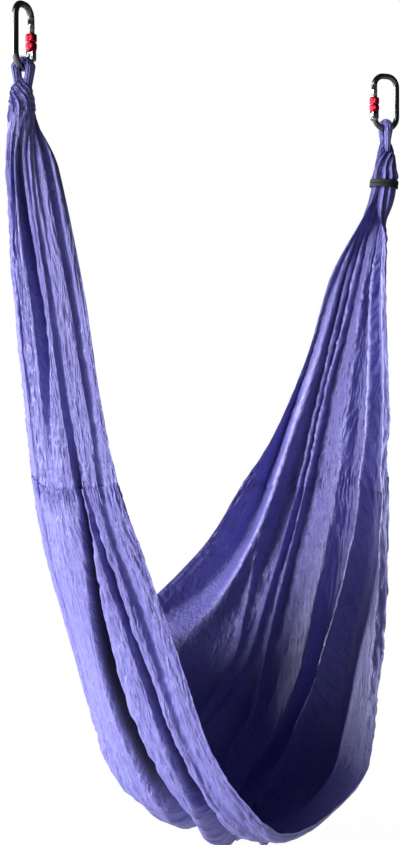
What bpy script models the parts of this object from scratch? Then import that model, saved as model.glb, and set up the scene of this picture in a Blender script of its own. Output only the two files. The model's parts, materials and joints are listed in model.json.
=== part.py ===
"""Aerial yoga hammock: a cloth sling hung from two screw-lock carabiners.

Metres, +Z up. The origin is the left hang point, on the inside of the left carabiner's top bow.
+X runs to the right hang point. The sling's far edge is on the +Y side, its near edge on the -Y side.
"""
import math

import bmesh
import bpy
import numpy as np
from mathutils import Matrix, Vector

# The two hang points and the directions in which the gates face
ANCHOR_SPACING = 0.84
LEFT_GATE_YAW = math.radians(22.0)
RIGHT_GATE_YAW = math.radians(162.0)

# Fits
SEAT_GAP = 0.0003
SLIDE_GAP = 0.0003
TURN_GAP = 0.0006

# Carabiner bow
CARABINER_LENGTH = 0.108
CARABINER_WIDTH = 0.058
BAR_DIAMETER = 0.0105
TOP_CORNER_RADIUS = 0.019

# Gate, its hinge and its latch
GATE_DIAMETER = 0.0106
GATE_OPENING = math.radians(25.0)
HINGE_HEIGHT = 0.0195
KNUCKLE_RADIUS = 0.0062
KNUCKLE_SHOULDER = 0.0105
TONGUE_THICKNESS = 0.0031
RIVET_DIAMETER = 0.0036
RIVET_HEAD_DIAMETER = 0.0056
RIVET_HEAD_HEIGHT = 0.0007
CAM_LOW = 0.0046
CAM_RISE = 0.0011
LATCH_PIN_DIAMETER = 0.003
LATCH_PIN_DEPTH = 0.005
NOSE_TONGUE_LENGTH = 0.0088
NOSE_TONGUE_WIDTH = 0.009
NOTCH_CLEARANCE = 0.00045

# Lock sleeve
SLEEVE_LENGTH = 0.0265
SLEEVE_DIAMETER = 0.018
SLEEVE_CHAMFER = 0.0022
SLEEVE_GROOVE_DEPTH = 0.0014
SLEEVE_GROOVE_WIDTH = 0.004
SLEEVE_BORE_CHAMFER = 0.0006

# Spring and plunger inside the gate
GATE_BORE_DIAMETER = 0.0048
PLUNGER_LENGTH = 0.008
PLUNGER_TIP_GAP = 0.0007
SPRING_WIRE = 0.0007
SPRING_TURNS = 7
SPRING_LENGTH = 0.0135

# Cloth
CLOTH_THICKNESS = 0.0016
CLOTH_PLACES = 36
LAP_GAP = 0.0005
THREAD_GAP = 0.0006
SEAM_STATION = 5.0
LAP_STATIONS = 0.17
THREAD_WIDTH = 0.003
THREAD_HEIGHT = 0.0007

# Loop of gathered cloth over the bottom bow
STRAND_WIDTH = 0.024
STRAND_THICKNESS = 0.0135
LOOP_TAIL = 0.040
LOOP_WAIST = 0.45
LOOP_FLUTES = 5
LOOP_FLUTE_DEPTH = 0.10
LOOP_TWIST = math.radians(150)
SWING_LIMIT = math.radians(25.0)

# Gathered necks: (station from the neck, half width, half depth)
BAND_STATIONS = (0.70, 1.0)
LEFT_NECK = ((0.0, 0.0140, 0.0135), (0.30, 0.0190, 0.0175), (1.0, 0.0300, 0.0220), (1.4, 0.0340, 0.0240))
RIGHT_NECK = ((0.0, 0.0140, 0.0135), (0.30, 0.0165, 0.0155), (0.50, 0.0190, 0.0170), (0.70, 0.0245, 0.0195),
              (1.0, 0.0245, 0.0195), (1.4, 0.0280, 0.0220))
LEFT_PRESSED_TO = 0.3
RIGHT_PRESSED_TO = 1.0
PRESSED_FADE = 1.2
FILLED_STATIONS = (1.0, 2.4)
NECK_FLUTES = 6
NECK_FLUTE_DEPTH = 0.07

# Elastic band round the right neck
BAND_DROP = 0.102
BAND_HEIGHT = 0.015
BAND_THICKNESS = 0.0032
BAND_ROUNDING = 0.0013
BAND_GROOVE_DEPTH = 0.0014
BAND_GAP = 0.0006

BAR_RADIUS = BAR_DIAMETER / 2
GATE_RADIUS = GATE_DIAMETER / 2
HALF_WIDTH = (CARABINER_WIDTH - BAR_DIAMETER) / 2
TOP_BAR_Z = BAR_RADIUS
BOTTOM_BAR_Z = TOP_BAR_Z - (CARABINER_LENGTH - BAR_DIAMETER)
NOSE_Z = TOP_BAR_Z - TOP_CORNER_RADIUS
HINGE_Z = BOTTOM_BAR_Z + HINGE_HEIGHT
GATE_TOP = NOSE_Z - TURN_GAP - HINGE_Z
PLUNGER_SEAT = CAM_LOW + PLUNGER_TIP_GAP
SPRING_SEAT = PLUNGER_SEAT + PLUNGER_LENGTH + SEAT_GAP
GATE_BORE_END = SPRING_SEAT + SPRING_LENGTH + SEAT_GAP

# Routes of the sling from the left neck, down the left leg, through the seat and up the right leg. Each row
# is one station. A leg's points are (inwards from its hang point, across, height), and the seat's three
# points are (from the middle of the anchor spacing, across, height). Heights are from the centre of the
# bottom bow, which carries the sling.
LEFT_NEAR_EDGE = [
    (0.014, -0.014, -0.020), (0.030, -0.030, -0.098), (0.048, -0.050, -0.218), (0.067, -0.070, -0.364),
    (0.082, -0.085, -0.508), (0.101, -0.105, -0.638), (0.134, -0.130, -0.755), (0.164, -0.162, -0.883),
    (0.196, -0.205, -1.034)]
SEAT_NEAR_EDGE = [(-0.168, -0.250, -1.143), (-0.075, -0.255, -1.186), (0.074, -0.250, -1.126)]
RIGHT_NEAR_EDGE = [
    (0.006, -0.014, -0.020), (0.014, -0.022, -0.113), (0.030, -0.030, -0.192), (0.0525, -0.050, -0.322),
    (0.070, -0.075, -0.486), (0.102, -0.100, -0.639), (0.151, -0.140, -0.828), (0.212, -0.180, -0.951),
    (0.280, -0.220, -1.063)]
LEFT_MIDDLE = [
    (-0.012, 0.002, -0.020), (-0.022, 0.006, -0.098), (-0.004, 0.028, -0.218), (0.022, 0.038, -0.364),
    (0.049, 0.045, -0.508), (0.075, 0.050, -0.643), (0.107, 0.050, -0.768), (0.155, 0.050, -0.898),
    (0.200, 0.040, -1.038)]
SEAT_MIDDLE = [(-0.165, 0.020, -1.153), (-0.015, -0.030, -1.243), (0.160, 0.000, -1.153)]
RIGHT_MIDDLE = [
    (-0.012, 0.002, -0.020), (-0.018, 0.004, -0.113), (0.002, 0.020, -0.208), (0.022, 0.030, -0.348),
    (0.043, 0.040, -0.498), (0.068, 0.045, -0.643), (0.100, 0.040, -0.768), (0.140, 0.035, -0.898),
    (0.185, 0.020, -1.038)]
LEFT_FAR_EDGE = [
    (0.004, 0.015, -0.020), (0.014, 0.032, -0.098), (0.055, 0.070, -0.208), (0.088, 0.110, -0.348),
    (0.125, 0.145, -0.478), (0.162, 0.173, -0.588), (0.208, 0.210, -0.688), (0.268, 0.250, -0.783),
    (0.325, 0.285, -0.863)]
SEAT_FAR_EDGE = [(-0.048, 0.305, -0.908), (0.000, 0.315, -0.928), (0.055, 0.315, -0.908)]
RIGHT_FAR_EDGE = [
    (0.006, 0.015, -0.020), (0.025, 0.032, -0.113), (0.061, 0.078, -0.258), (0.090, 0.118, -0.422),
    (0.126, 0.168, -0.565), (0.165, 0.204, -0.650), (0.208, 0.245, -0.749), (0.250, 0.272, -0.808),
    (0.304, 0.300, -0.865)]
LAST_STATION = 20.0

# Folds that stand into the sling. Each row is (station, place across from the far edge, height, width
# towards the far edge, width towards the near edge). A height below zero is a bulge away from the sling.
# A fold is read between its rows, and fades out beyond its first and last row.
UNDER_FAR_EDGE = (
    (1.0, 0.06, 0.000, 0.04, 0.08), (3.0, 0.06, -0.004, 0.04, 0.08), (8.0, 0.06, -0.006, 0.04, 0.10),
    (11.9, 0.035, -0.020, 0.03, 0.14), (13.3, 0.050, -0.036, 0.03, 0.12), (14.3, 0.055, -0.040, 0.03, 0.09),
    (15.2, 0.050, -0.030, 0.03, 0.07), (16.2, 0.035, -0.014, 0.03, 0.05), (17.4, 0.03, -0.002, 0.03, 0.05))
FAR_STRIP = (
    (9.0, 0.14, 0.006, 0.05, 0.06), (11.5, 0.14, 0.010, 0.05, 0.09), (12.5, 0.15, 0.016, 0.05, 0.10),
    (13.4, 0.16, 0.024, 0.05, 0.09), (14.2, 0.165, 0.032, 0.045, 0.08), (15.0, 0.155, 0.034, 0.045, 0.08),
    (16.0, 0.13, 0.026, 0.05, 0.07), (17.0, 0.10, 0.014, 0.05, 0.06), (18.2, 0.09, 0.005, 0.05, 0.05),
    (19.2, 0.10, 0.002, 0.05, 0.05))
BLACK_SLOT_AND_BAND = (
    (1.2, 0.81, 0.002, 0.015, 0.015), (3.0, 0.800, 0.009, 0.012, 0.030), (4.2, 0.795, 0.011, 0.012, 0.030),
    (5.0, 0.790, 0.016, 0.012, 0.030), (5.6, 0.765, 0.024, 0.012, 0.036), (6.2, 0.715, 0.040, 0.014, 0.062),
    (6.7, 0.665, 0.054, 0.015, 0.090), (7.2, 0.630, 0.064, 0.016, 0.110), (7.9, 0.640, 0.070, 0.018, 0.112),
    (8.4, 0.668, 0.068, 0.020, 0.095), (8.9, 0.695, 0.060, 0.026, 0.062), (9.3, 0.625, 0.056, 0.036, 0.056),
    (9.8, 0.500, 0.052, 0.060, 0.046), (10.4, 0.430, 0.048, 0.090, 0.036), (11.1, 0.435, 0.044, 0.110, 0.034),
    (11.7, 0.460, 0.040, 0.120, 0.034), (12.7, 0.500, 0.034, 0.130, 0.040), (14.0, 0.505, 0.026, 0.130, 0.050),
    (15.0, 0.520, 0.022, 0.140, 0.050), (16.4, 0.490, 0.016, 0.140, 0.050), (17.6, 0.45, 0.010, 0.10, 0.05),
    (19.2, 0.44, 0.003, 0.05, 0.05))
NEAR_SLOT_AND_CREST = (
    (4.9, 0.835, 0.002, 0.008, 0.012), (5.5, 0.828, 0.010, 0.008, 0.018), (6.2, 0.828, 0.015, 0.008, 0.022),
    (7.0, 0.838, 0.020, 0.009, 0.024), (7.8, 0.848, 0.027, 0.010, 0.030), (8.4, 0.848, 0.037, 0.012, 0.040),
    (8.9, 0.825, 0.046, 0.018, 0.050), (9.4, 0.755, 0.057, 0.040, 0.060), (9.9, 0.640, 0.066, 0.055, 0.080),
    (10.4, 0.540, 0.068, 0.050, 0.080), (11.0, 0.530, 0.066, 0.040, 0.060), (11.6, 0.560, 0.064, 0.042, 0.050),
    (12.3, 0.630, 0.060, 0.060, 0.040), (13.0, 0.685, 0.052, 0.075, 0.030), (13.9, 0.725, 0.042, 0.085, 0.024),
    (14.6, 0.765, 0.034, 0.090, 0.020), (15.3, 0.790, 0.028, 0.085, 0.018), (16.2, 0.770, 0.022, 0.080, 0.018),
    (17.1, 0.690, 0.016, 0.07, 0.020), (18.2, 0.60, 0.008, 0.05, 0.03), (19.2, 0.58, 0.003, 0.04, 0.03))
BLUE_SLOT = (
    (0.8, 0.66, 0.002, 0.014, 0.04), (1.5, 0.665, 0.017, 0.013, 0.070), (2.2, 0.668, 0.024, 0.014, 0.078),
    (3.0, 0.668, 0.025, 0.014, 0.075), (3.6, 0.660, 0.020, 0.014, 0.060), (4.1, 0.640, 0.009, 0.016, 0.040),
    (4.7, 0.63, 0.001, 0.02, 0.03))
BOWL_FLOOR = (
    (8.8, 0.78, 0.002, 0.10, 0.10), (9.3, 0.80, 0.022, 0.10, 0.10), (9.7, 0.815, 0.056, 0.12, 0.11),
    (10.1, 0.825, 0.062, 0.13, 0.11), (10.5, 0.820, 0.048, 0.12, 0.10), (11.2, 0.800, 0.034, 0.11, 0.10),
    (12.2, 0.800, 0.020, 0.10, 0.08), (13.4, 0.84, 0.008, 0.06, 0.06), (14.4, 0.88, 0.002, 0.05, 0.05))
LEFT_LOBE = (
    (6.6, 0.40, 0.000, 0.20, 0.14), (7.6, 0.40, -0.006, 0.20, 0.14), (8.3, 0.40, -0.024, 0.20, 0.14),
    (8.8, 0.45, -0.036, 0.20, 0.14), (9.2, 0.50, -0.024, 0.18, 0.12), (9.8, 0.55, -0.002, 0.15, 0.10))
FOLDS = (UNDER_FAR_EDGE, FAR_STRIP, BLACK_SLOT_AND_BAND, NEAR_SLOT_AND_CREST, BLUE_SLOT, BOWL_FLOOR, LEFT_LOBE)
FOLD_FADE = 0.6
FOLD_FALL = 1.6
FOLD_ROUNDNESS = 1.7
FLANK_WIDTH = 0.022
SAMPLE_PULL = 1.5
SAMPLE_REACH = 1.5


# Materials

def material(name, colour, roughness, metallic):
    finish = bpy.data.materials.new(name)
    finish.use_nodes = True
    shader = finish.node_tree.nodes["Principled BSDF"]
    shader.inputs["Base Color"].default_value = (*colour, 1.0)
    shader.inputs["Roughness"].default_value = roughness
    shader.inputs["Metallic"].default_value = metallic
    return finish


# Mesh helpers

def object_from(name, bm, finish=None, parent=None, at=(0.0, 0.0, 0.0)):
    """Make an object whose origin is at the point `at` of the coordinates that bm was modelled in."""
    bmesh.ops.translate(bm, verts=bm.verts, vec=-Vector(at))
    mesh = bpy.data.meshes.new(name)
    bm.to_mesh(mesh)
    bm.free()
    mesh.shade_smooth()
    mesh.set_sharp_from_angle(angle=math.radians(40))
    if finish:
        mesh.materials.append(finish)
    made = bpy.data.objects.new(name, mesh)
    made.parent = parent
    made.location = at
    bpy.context.scene.collection.objects.link(made)
    return made


def boolean(target, tool, operation):
    """Apply one exact Boolean to the target and delete the tool."""
    cut = target.modifiers.new(operation.lower(), "BOOLEAN")
    cut.object = tool
    cut.operation = operation
    cut.solver = "EXACT"
    bpy.context.view_layer.update()
    evaluated = target.evaluated_get(bpy.context.evaluated_depsgraph_get())
    mesh = bpy.data.meshes.new_from_object(evaluated)
    target.modifiers.clear()
    target.data = mesh
    bpy.data.objects.remove(tool)


def loft(bm, rings, cap=True):
    """Join closed rings of points by quads, and close both ends."""
    rows = [[bm.verts.new(point) for point in ring] for ring in rings]
    for low, high in zip(rows, rows[1:]):
        for i, corner in enumerate(low):
            j = (i + 1) % len(low)
            bm.faces.new((corner, low[j], high[j], high[i]))
    if cap:
        bm.faces.new(list(reversed(rows[0])))
        bm.faces.new(rows[-1])
    return rows


def outward(bm):
    bmesh.ops.recalc_face_normals(bm, faces=bm.faces)
    return bm


def swept(path, width, thickness, sides, wide_axis):
    """A bar along path whose elliptical section is widest along wide_axis."""
    bm = bmesh.new()
    rings = []
    for i, point in enumerate(path):
        along = (path[min(i + 1, len(path) - 1)] - path[max(i - 1, 0)]).normalized()
        wide = (wide_axis - along * along.dot(wide_axis)).normalized()
        thin = along.cross(wide)
        turns = [2 * math.pi * k / sides for k in range(sides)]
        rings.append([point + wide * math.cos(a) * width / 2 + thin * math.sin(a) * thickness / 2
                      for a in turns])
    loft(bm, rings)
    return outward(bm)


def arc(centre_x, centre_z, radius, start, stop, steps):
    """Points of an arc in the carabiner's plane, from start to stop in degrees."""
    angles = [math.radians(start + (stop - start) * i / steps) for i in range(steps + 1)]
    return [Vector((centre_x + radius * math.cos(a), 0.0, centre_z + radius * math.sin(a))) for a in angles]


def plate(outline, thickness):
    """A flat plate in the carabiner's plane from its outline of (x, z) points."""
    bm = bmesh.new()
    face = bm.faces.new([bm.verts.new((x, -thickness / 2, z)) for x, z in outline])
    side = bmesh.ops.extrude_face_region(bm, geom=[face])
    moved = [part for part in side["geom"] if isinstance(part, bmesh.types.BMVert)]
    bmesh.ops.translate(bm, verts=moved, vec=(0.0, thickness, 0.0))
    return outward(bm)


def rod(radius, start, stop, sides=20):
    """A round rod between two points."""
    start, stop = Vector(start), Vector(stop)
    bm = bmesh.new()
    bmesh.ops.create_cone(bm, cap_ends=True, segments=sides, radius1=radius, radius2=radius,
                          depth=(stop - start).length)
    turn = (stop - start).to_track_quat("Z", "Y").to_matrix().to_4x4()
    bmesh.ops.transform(bm, matrix=Matrix.Translation((start + stop) / 2) @ turn, verts=bm.verts)
    return bm


def box(low, high):
    bm = bmesh.new()
    size = Vector(high) - Vector(low)
    bmesh.ops.create_cube(bm, size=1.0)
    bmesh.ops.scale(bm, vec=size, verts=bm.verts)
    bmesh.ops.translate(bm, vec=(Vector(low) + Vector(high)) / 2, verts=bm.verts)
    return bm


def turned(profile, sides=28):
    """Spin a closed profile of (radius, height) points about Z."""
    bm = bmesh.new()
    rings = []
    for k in range(sides):
        a = 2 * math.pi * k / sides
        rings.append([bm.verts.new((r * math.cos(a), r * math.sin(a), z)) for r, z in profile])
    for k, ring in enumerate(rings):
        following = rings[(k + 1) % sides]
        for i, corner in enumerate(ring):
            j = (i + 1) % len(ring)
            bm.faces.new((corner, following[i], following[j], ring[j]))
    return outward(bm)


# Carabiner

def bow_path(hinge_side_end):
    """Centre line of the bow, from the nose over the top and down the spine to the hinge side."""
    corner_x = HALF_WIDTH - TOP_CORNER_RADIUS
    bottom_z = BOTTOM_BAR_Z + HALF_WIDTH
    path = arc(corner_x, NOSE_Z, TOP_CORNER_RADIUS, 0, 90, 7)
    path += arc(-corner_x, NOSE_Z, TOP_CORNER_RADIUS, 90, 180, 7)
    path += arc(0.0, bottom_z, HALF_WIDTH, 180, hinge_side_end, 16)
    return path


def carabiner_body(name, finish, hanger):
    """The bent bow, its hooked nose and the cam tongue that the gate turns on."""
    body = object_from(name, swept(bow_path(346), BAR_DIAMETER, BAR_DIAMETER, 16, Vector((0, 1, 0))),
                       finish, hanger)
    shoulder = rod(KNUCKLE_RADIUS + TURN_GAP, (HALF_WIDTH, -BAR_DIAMETER, HINGE_Z),
                   (HALF_WIDTH, BAR_DIAMETER, HINGE_Z), 32)
    boolean(body, object_from("shoulder_cut", shoulder, None, hanger), "DIFFERENCE")
    boolean(body, object_from("tongue", plate(cam_outline(), TONGUE_THICKNESS), None, hanger), "UNION")
    hole = rod(RIVET_DIAMETER / 2 + SEAT_GAP, (HALF_WIDTH, -BAR_DIAMETER, HINGE_Z),
               (HALF_WIDTH, BAR_DIAMETER, HINGE_Z), 16)
    boolean(body, object_from("rivet_hole", hole, None, hanger), "DIFFERENCE")
    boolean(body, object_from("nose", plate(nose_outline(), TONGUE_THICKNESS), None, hanger), "UNION")
    return body


def cam_outline():
    """The tongue round the rivet: low under the plunger at rest, rising as the gate swings in."""
    outline = []
    for degrees in range(-135, 151, 15):
        turn = math.radians(degrees)
        rise = CAM_RISE * min(max(turn / GATE_OPENING, 0.0), 1.0)
        radius = CAM_LOW + rise
        outline.append((HALF_WIDTH - radius * math.sin(turn), HINGE_Z + radius * math.cos(turn)))
    # The root of the tongue is buried in the end of the bow.
    root = KNUCKLE_RADIUS + TURN_GAP + BAR_RADIUS
    for degrees in (150, 165):
        turn = math.radians(degrees)
        outline.append((HALF_WIDTH - root * math.sin(turn), HINGE_Z + root * math.cos(turn)))
    return outline


def nose_outline():
    """The hooked tongue under the nose, open on its inner side where the latch pin leaves."""
    half = NOSE_TONGUE_WIDTH / 2
    pin_z = NOSE_Z - LATCH_PIN_DEPTH
    notch = LATCH_PIN_DIAMETER / 2 + NOTCH_CLEARANCE
    outline = [(HALF_WIDTH - half, NOSE_Z + BAR_RADIUS / 2), (HALF_WIDTH - half, pin_z + notch)]
    for degrees in range(90, -91, -30):
        a = math.radians(degrees)
        outline.append((HALF_WIDTH + notch * math.cos(a), pin_z + notch * math.sin(a)))
    outline += [(HALF_WIDTH - half, pin_z - notch), (HALF_WIDTH - half, NOSE_Z - NOSE_TONGUE_LENGTH),
                (HALF_WIDTH + half, NOSE_Z - NOSE_TONGUE_LENGTH),
                (HALF_WIDTH + half, NOSE_Z + BAR_RADIUS / 2)]
    return outline


def gate(name, finish, pivot):
    """The gate: a round bar with a slotted top, a forked knuckle and a bore for the spring."""
    body = object_from(name, rod(GATE_RADIUS, (0, 0, 0), (0, 0, GATE_TOP), 24), finish, pivot)
    lug = [(KNUCKLE_RADIUS * math.cos(a), KNUCKLE_RADIUS * math.sin(a))
           for a in (math.radians(-180 + 15 * k) for k in range(13))]
    lug += [(KNUCKLE_RADIUS, KNUCKLE_SHOULDER), (-KNUCKLE_RADIUS, KNUCKLE_SHOULDER)]
    boolean(body, object_from("lug", plate(lug, GATE_DIAMETER + 2 * SLIDE_GAP), None, pivot), "UNION")
    fork = TONGUE_THICKNESS / 2 + SLIDE_GAP
    reach = 2 * GATE_DIAMETER
    slot_floor = GATE_TOP - NOSE_TONGUE_LENGTH - 2 * TURN_GAP
    slot_ceiling = CAM_LOW + CAM_RISE + 2 * TURN_GAP
    cuts = {
        "nose_slot": box((-reach, -fork, slot_floor), (reach, fork, GATE_TOP + reach)),
        "knuckle_slot": box((-reach, -fork, -reach), (reach, fork, slot_ceiling)),
        "spring_bore": rod(GATE_BORE_DIAMETER / 2, (0, 0, CAM_LOW), (0, 0, GATE_BORE_END), 16),
        "rivet_hole": rod(RIVET_DIAMETER / 2 + SEAT_GAP, (0, -reach, 0), (0, reach, 0), 16),
        "pin_hole": rod(LATCH_PIN_DIAMETER / 2 + SEAT_GAP, (0, -reach, latch_height()),
                        (0, reach, latch_height()), 16),
    }
    for label, shape in cuts.items():
        boolean(body, object_from(label, shape, None, pivot), "DIFFERENCE")
    return body


def latch_height():
    """Height of the latch pin over the gate's hinge."""
    return NOSE_Z - LATCH_PIN_DEPTH - HINGE_Z


def sleeve_profile():
    """Half section of the lock sleeve: two crowned grips with a groove between them."""
    outer = SLEEVE_DIAMETER / 2
    bore = GATE_RADIUS + SLIDE_GAP
    middle = SLEEVE_LENGTH / 2
    groove = outer - SLEEVE_GROOVE_DEPTH
    half_groove = SLEEVE_GROOVE_WIDTH / 2
    return [
        (bore, SLEEVE_BORE_CHAMFER), (bore + SLEEVE_BORE_CHAMFER, 0.0), (outer - SLEEVE_CHAMFER, 0.0),
        (outer - SLEEVE_CHAMFER / 4, SLEEVE_CHAMFER / 2), (outer, SLEEVE_CHAMFER),
        (outer, middle - half_groove), (groove, middle), (outer, middle + half_groove),
        (outer, SLEEVE_LENGTH - SLEEVE_CHAMFER),
        (outer - SLEEVE_CHAMFER / 4, SLEEVE_LENGTH - SLEEVE_CHAMFER / 2),
        (outer - SLEEVE_CHAMFER, SLEEVE_LENGTH), (bore + SLEEVE_BORE_CHAMFER, SLEEVE_LENGTH),
        (bore, SLEEVE_LENGTH - SLEEVE_BORE_CHAMFER)]


def plunger_shape():
    """The plunger: a round rod with a domed tip that rests on the cam."""
    radius = GATE_BORE_DIAMETER / 2 - SLIDE_GAP
    profile = [(radius * math.sin(a), radius * (1 - math.cos(a)))
               for a in (math.radians(18 * k) for k in range(1, 6))]
    profile.append((radius, PLUNGER_LENGTH))
    bm = bmesh.new()
    sides = 14
    rings = [[(r * math.cos(2 * math.pi * k / sides), r * math.sin(2 * math.pi * k / sides), z)
              for k in range(sides)] for r, z in profile]
    loft(bm, rings)
    return outward(bm)


def spring_shape():
    """The coil spring, one steel wire wound round Z."""
    coil = GATE_BORE_DIAMETER / 2 - SLIDE_GAP - SPRING_WIRE / 2
    steps_per_turn = 10
    steps = SPRING_TURNS * steps_per_turn
    rise = SPRING_LENGTH - SPRING_WIRE
    path = [Vector((coil * math.cos(2 * math.pi * i / steps_per_turn),
                    coil * math.sin(2 * math.pi * i / steps_per_turn),
                    SPRING_WIRE / 2 + rise * i / steps)) for i in range(steps + 1)]
    return swept(path, SPRING_WIRE, SPRING_WIRE, 5, Vector((0, 0, 1)))


def rivet_shape():
    """The hinge rivet: a shank with a low domed head on each side."""
    shank = RIVET_DIAMETER / 2
    head = RIVET_HEAD_DIAMETER / 2
    seat = GATE_RADIUS + 2 * SLIDE_GAP
    top = seat + RIVET_HEAD_HEIGHT
    profile = [(head * 0.6, -top), (head, -seat - RIVET_HEAD_HEIGHT * 0.4), (head, -seat), (shank, -seat),
               (shank, seat), (head, seat), (head, seat + RIVET_HEAD_HEIGHT * 0.4), (head * 0.6, top)]
    bm = bmesh.new()
    sides = 16
    rings = [[(r * math.cos(2 * math.pi * k / sides), r * math.sin(2 * math.pi * k / sides), z)
              for k in range(sides)] for r, z in profile]
    loft(bm, rings)
    outward(bm)
    bmesh.ops.rotate(bm, verts=bm.verts, matrix=Matrix.Rotation(math.radians(90), 3, "X"))
    return bm


def empty(name, parent, at, yaw=0.0):
    made = bpy.data.objects.new(name, None)
    made.parent = parent
    made.location = at
    made.rotation_euler = (0.0, 0.0, yaw)
    bpy.context.scene.collection.objects.link(made)
    return made


def carabiner(side, hang_point, yaw, finishes):
    """One screw-lock carabiner, with its gate shut and its sleeve screwed down."""
    hanger = empty(side + "_hang_point", None, hang_point, yaw)
    pivot = empty(side + "_gate_pivot", hanger, (HALF_WIDTH, 0.0, HINGE_Z))
    steel, bright, red = finishes
    carabiner_body(side + "_carabiner_body", steel, hanger)
    gate(side + "_gate", bright, pivot)
    object_from(side + "_hinge_rivet", rivet_shape(), bright, pivot)
    pin_half = GATE_RADIUS - SLIDE_GAP
    pin = rod(LATCH_PIN_DIAMETER / 2, (0, -pin_half, latch_height()), (0, pin_half, latch_height()), 12)
    object_from(side + "_latch_pin", pin, bright, pivot, (0.0, 0.0, latch_height()))
    sleeve = object_from(side + "_lock_sleeve", turned(sleeve_profile()), red, pivot)
    sleeve.location = (0.0, 0.0, KNUCKLE_SHOULDER + SEAT_GAP)
    plunger = object_from(side + "_plunger", plunger_shape(), bright, pivot)
    plunger.location = (0.0, 0.0, PLUNGER_SEAT)
    spring = object_from(side + "_gate_spring", spring_shape(), bright, pivot)
    spring.location = (0.0, 0.0, SPRING_SEAT)
    return hanger


# Sling

def route(left, seat, right):
    """Stations of one line of the sling in world coordinates, from the left neck to the right neck."""
    points = [(x, y, z) for x, y, z in left]
    points += [(ANCHOR_SPACING / 2 + x, y, z) for x, y, z in seat]
    points += [(ANCHOR_SPACING - x, y, z) for x, y, z in reversed(right)]
    return np.array(points) + (0.0, 0.0, BOTTOM_BAR_Z)


FAR_EDGE = route(LEFT_FAR_EDGE, SEAT_FAR_EDGE, RIGHT_FAR_EDGE)
MIDDLE = route(LEFT_MIDDLE, SEAT_MIDDLE, RIGHT_MIDDLE)
NEAR_EDGE = route(LEFT_NEAR_EDGE, SEAT_NEAR_EDGE, RIGHT_NEAR_EDGE)


def along_route(line, station):
    """Smooth curve through a route's stations."""
    whole = np.clip(np.floor(station), 0, len(line) - 2).astype(int)
    part = (station - whole)[..., None]
    before, here, after, beyond = (line[np.clip(whole + k, 0, len(line) - 1)] for k in (-1, 0, 1, 2))
    return 0.5 * (2 * here + (after - before) * part
                  + (2 * before - 5 * here + 4 * after - beyond) * part ** 2
                  + (3 * here - before - 3 * after + beyond) * part ** 3)


def open_section(across, station):
    """The cloth without its folds: a curve across from the far edge, round the outside, to the near edge."""
    across = across[..., None]
    return (along_route(FAR_EDGE, station) * (1 - across) * (1 - 2 * across)
            + along_route(MIDDLE, station) * 4 * across * (1 - across)
            + along_route(NEAR_EDGE, station) * across * (2 * across - 1))


def slopes(surface, across, station):
    """Unit direction into the sling, square to a surface given as a function."""
    step = 0.002
    side = surface(across + step, station) - surface(across - step, station)
    down = surface(across, station + 10 * step) - surface(across, station - 10 * step)
    inward = np.cross(side, down)
    return inward / np.linalg.norm(inward, axis=-1, keepdims=True)


def smooth_step(value, low, high):
    share = np.clip((value - low) / (high - low), 0.0, 1.0)
    return share * share * (3 - 2 * share)


def eased(station, rows, column):
    """A fold's value at some stations, with soft turns at its rows."""
    stations = np.array([row[0] for row in rows])
    values = np.array([row[column] for row in rows])
    place = np.clip(np.searchsorted(stations, station, side="right") - 1, 0, len(rows) - 2)
    span = stations[place + 1] - stations[place]
    share = np.clip((station - stations[place]) / span, 0.0, 1.0)
    slope = np.gradient(values, stations)
    cube, square = share ** 3, share ** 2
    return ((2 * cube - 3 * square + 1) * values[place] + (cube - 2 * square + share) * span * slope[place]
            + (3 * square - 2 * cube) * values[place + 1] + (cube - square) * span * slope[place + 1])


def fold_sizes(rows, across, station):
    """A fold's distance from its crest in flank widths, its flank width and its height, at some places."""
    centre, height, far_width, near_width = (eased(station, rows, column) for column in range(1, 5))
    fade = smooth_step(station, rows[0][0] - FOLD_FADE, rows[0][0])
    fade = fade * (1 - smooth_step(station, rows[-1][0], rows[-1][0] + FOLD_FADE))
    far, middle, near = (along_route(line, station) for line in (FAR_EDGE, MIDDLE, NEAR_EDGE))
    girth = np.linalg.norm(middle - far, axis=-1) + np.linalg.norm(near - middle, axis=-1)
    width = np.maximum(np.where(across < centre, far_width, near_width), FLANK_WIDTH / girth)
    return np.abs(across - centre) / width, width, height * fade


def folded_section(across, station):
    """The cloth with its folds standing into the sling."""
    rise = np.zeros(across.shape)
    for rows in FOLDS:
        distance, _, height = fold_sizes(rows, across, station)
        rise = rise + height * np.exp(-FOLD_FALL * distance ** FOLD_ROUNDNESS)
    inward = slopes(open_section, across, station)
    return open_section(across, station) + inward * rise[..., None]


def cloth(across, station):
    """Points of the cloth's outer face and the directions into the sling."""
    across, station = np.broadcast_arrays(np.asarray(across, float), np.asarray(station, float))
    return folded_section(across, station), slopes(folded_section, across, station)


def places_across(stations):
    """Places across the cloth at each station, closer together where a fold is steep."""
    # Both edges of a lap share their places, so that its layers and its thread lie parallel.
    from_neck = np.minimum(stations, LAST_STATION - stations)
    in_lap = np.abs(from_neck - SEAM_STATION - LAP_STATIONS / 2) < 0.51 * LAP_STATIONS
    seams = np.where(stations < LAST_STATION / 2, SEAM_STATION, LAST_STATION - SEAM_STATION)
    fine = np.linspace(0.0, 1.0, 801)
    rows = []
    for station in np.where(in_lap, seams, stations):
        pull = np.ones(fine.shape)
        for fold in FOLDS:
            distance, width, height = fold_sizes(fold, fine, np.full(fine.shape, float(station)))
            pull += SAMPLE_PULL * np.abs(height) / width * np.exp(-(distance / SAMPLE_REACH) ** 2)
        share = np.concatenate(([0.0], np.cumsum((pull[1:] + pull[:-1]) / 2)))
        rows.append(np.interp(np.linspace(0.0, share[-1], CLOTH_PLACES), share, fine))
    return np.array(rows)


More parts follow.
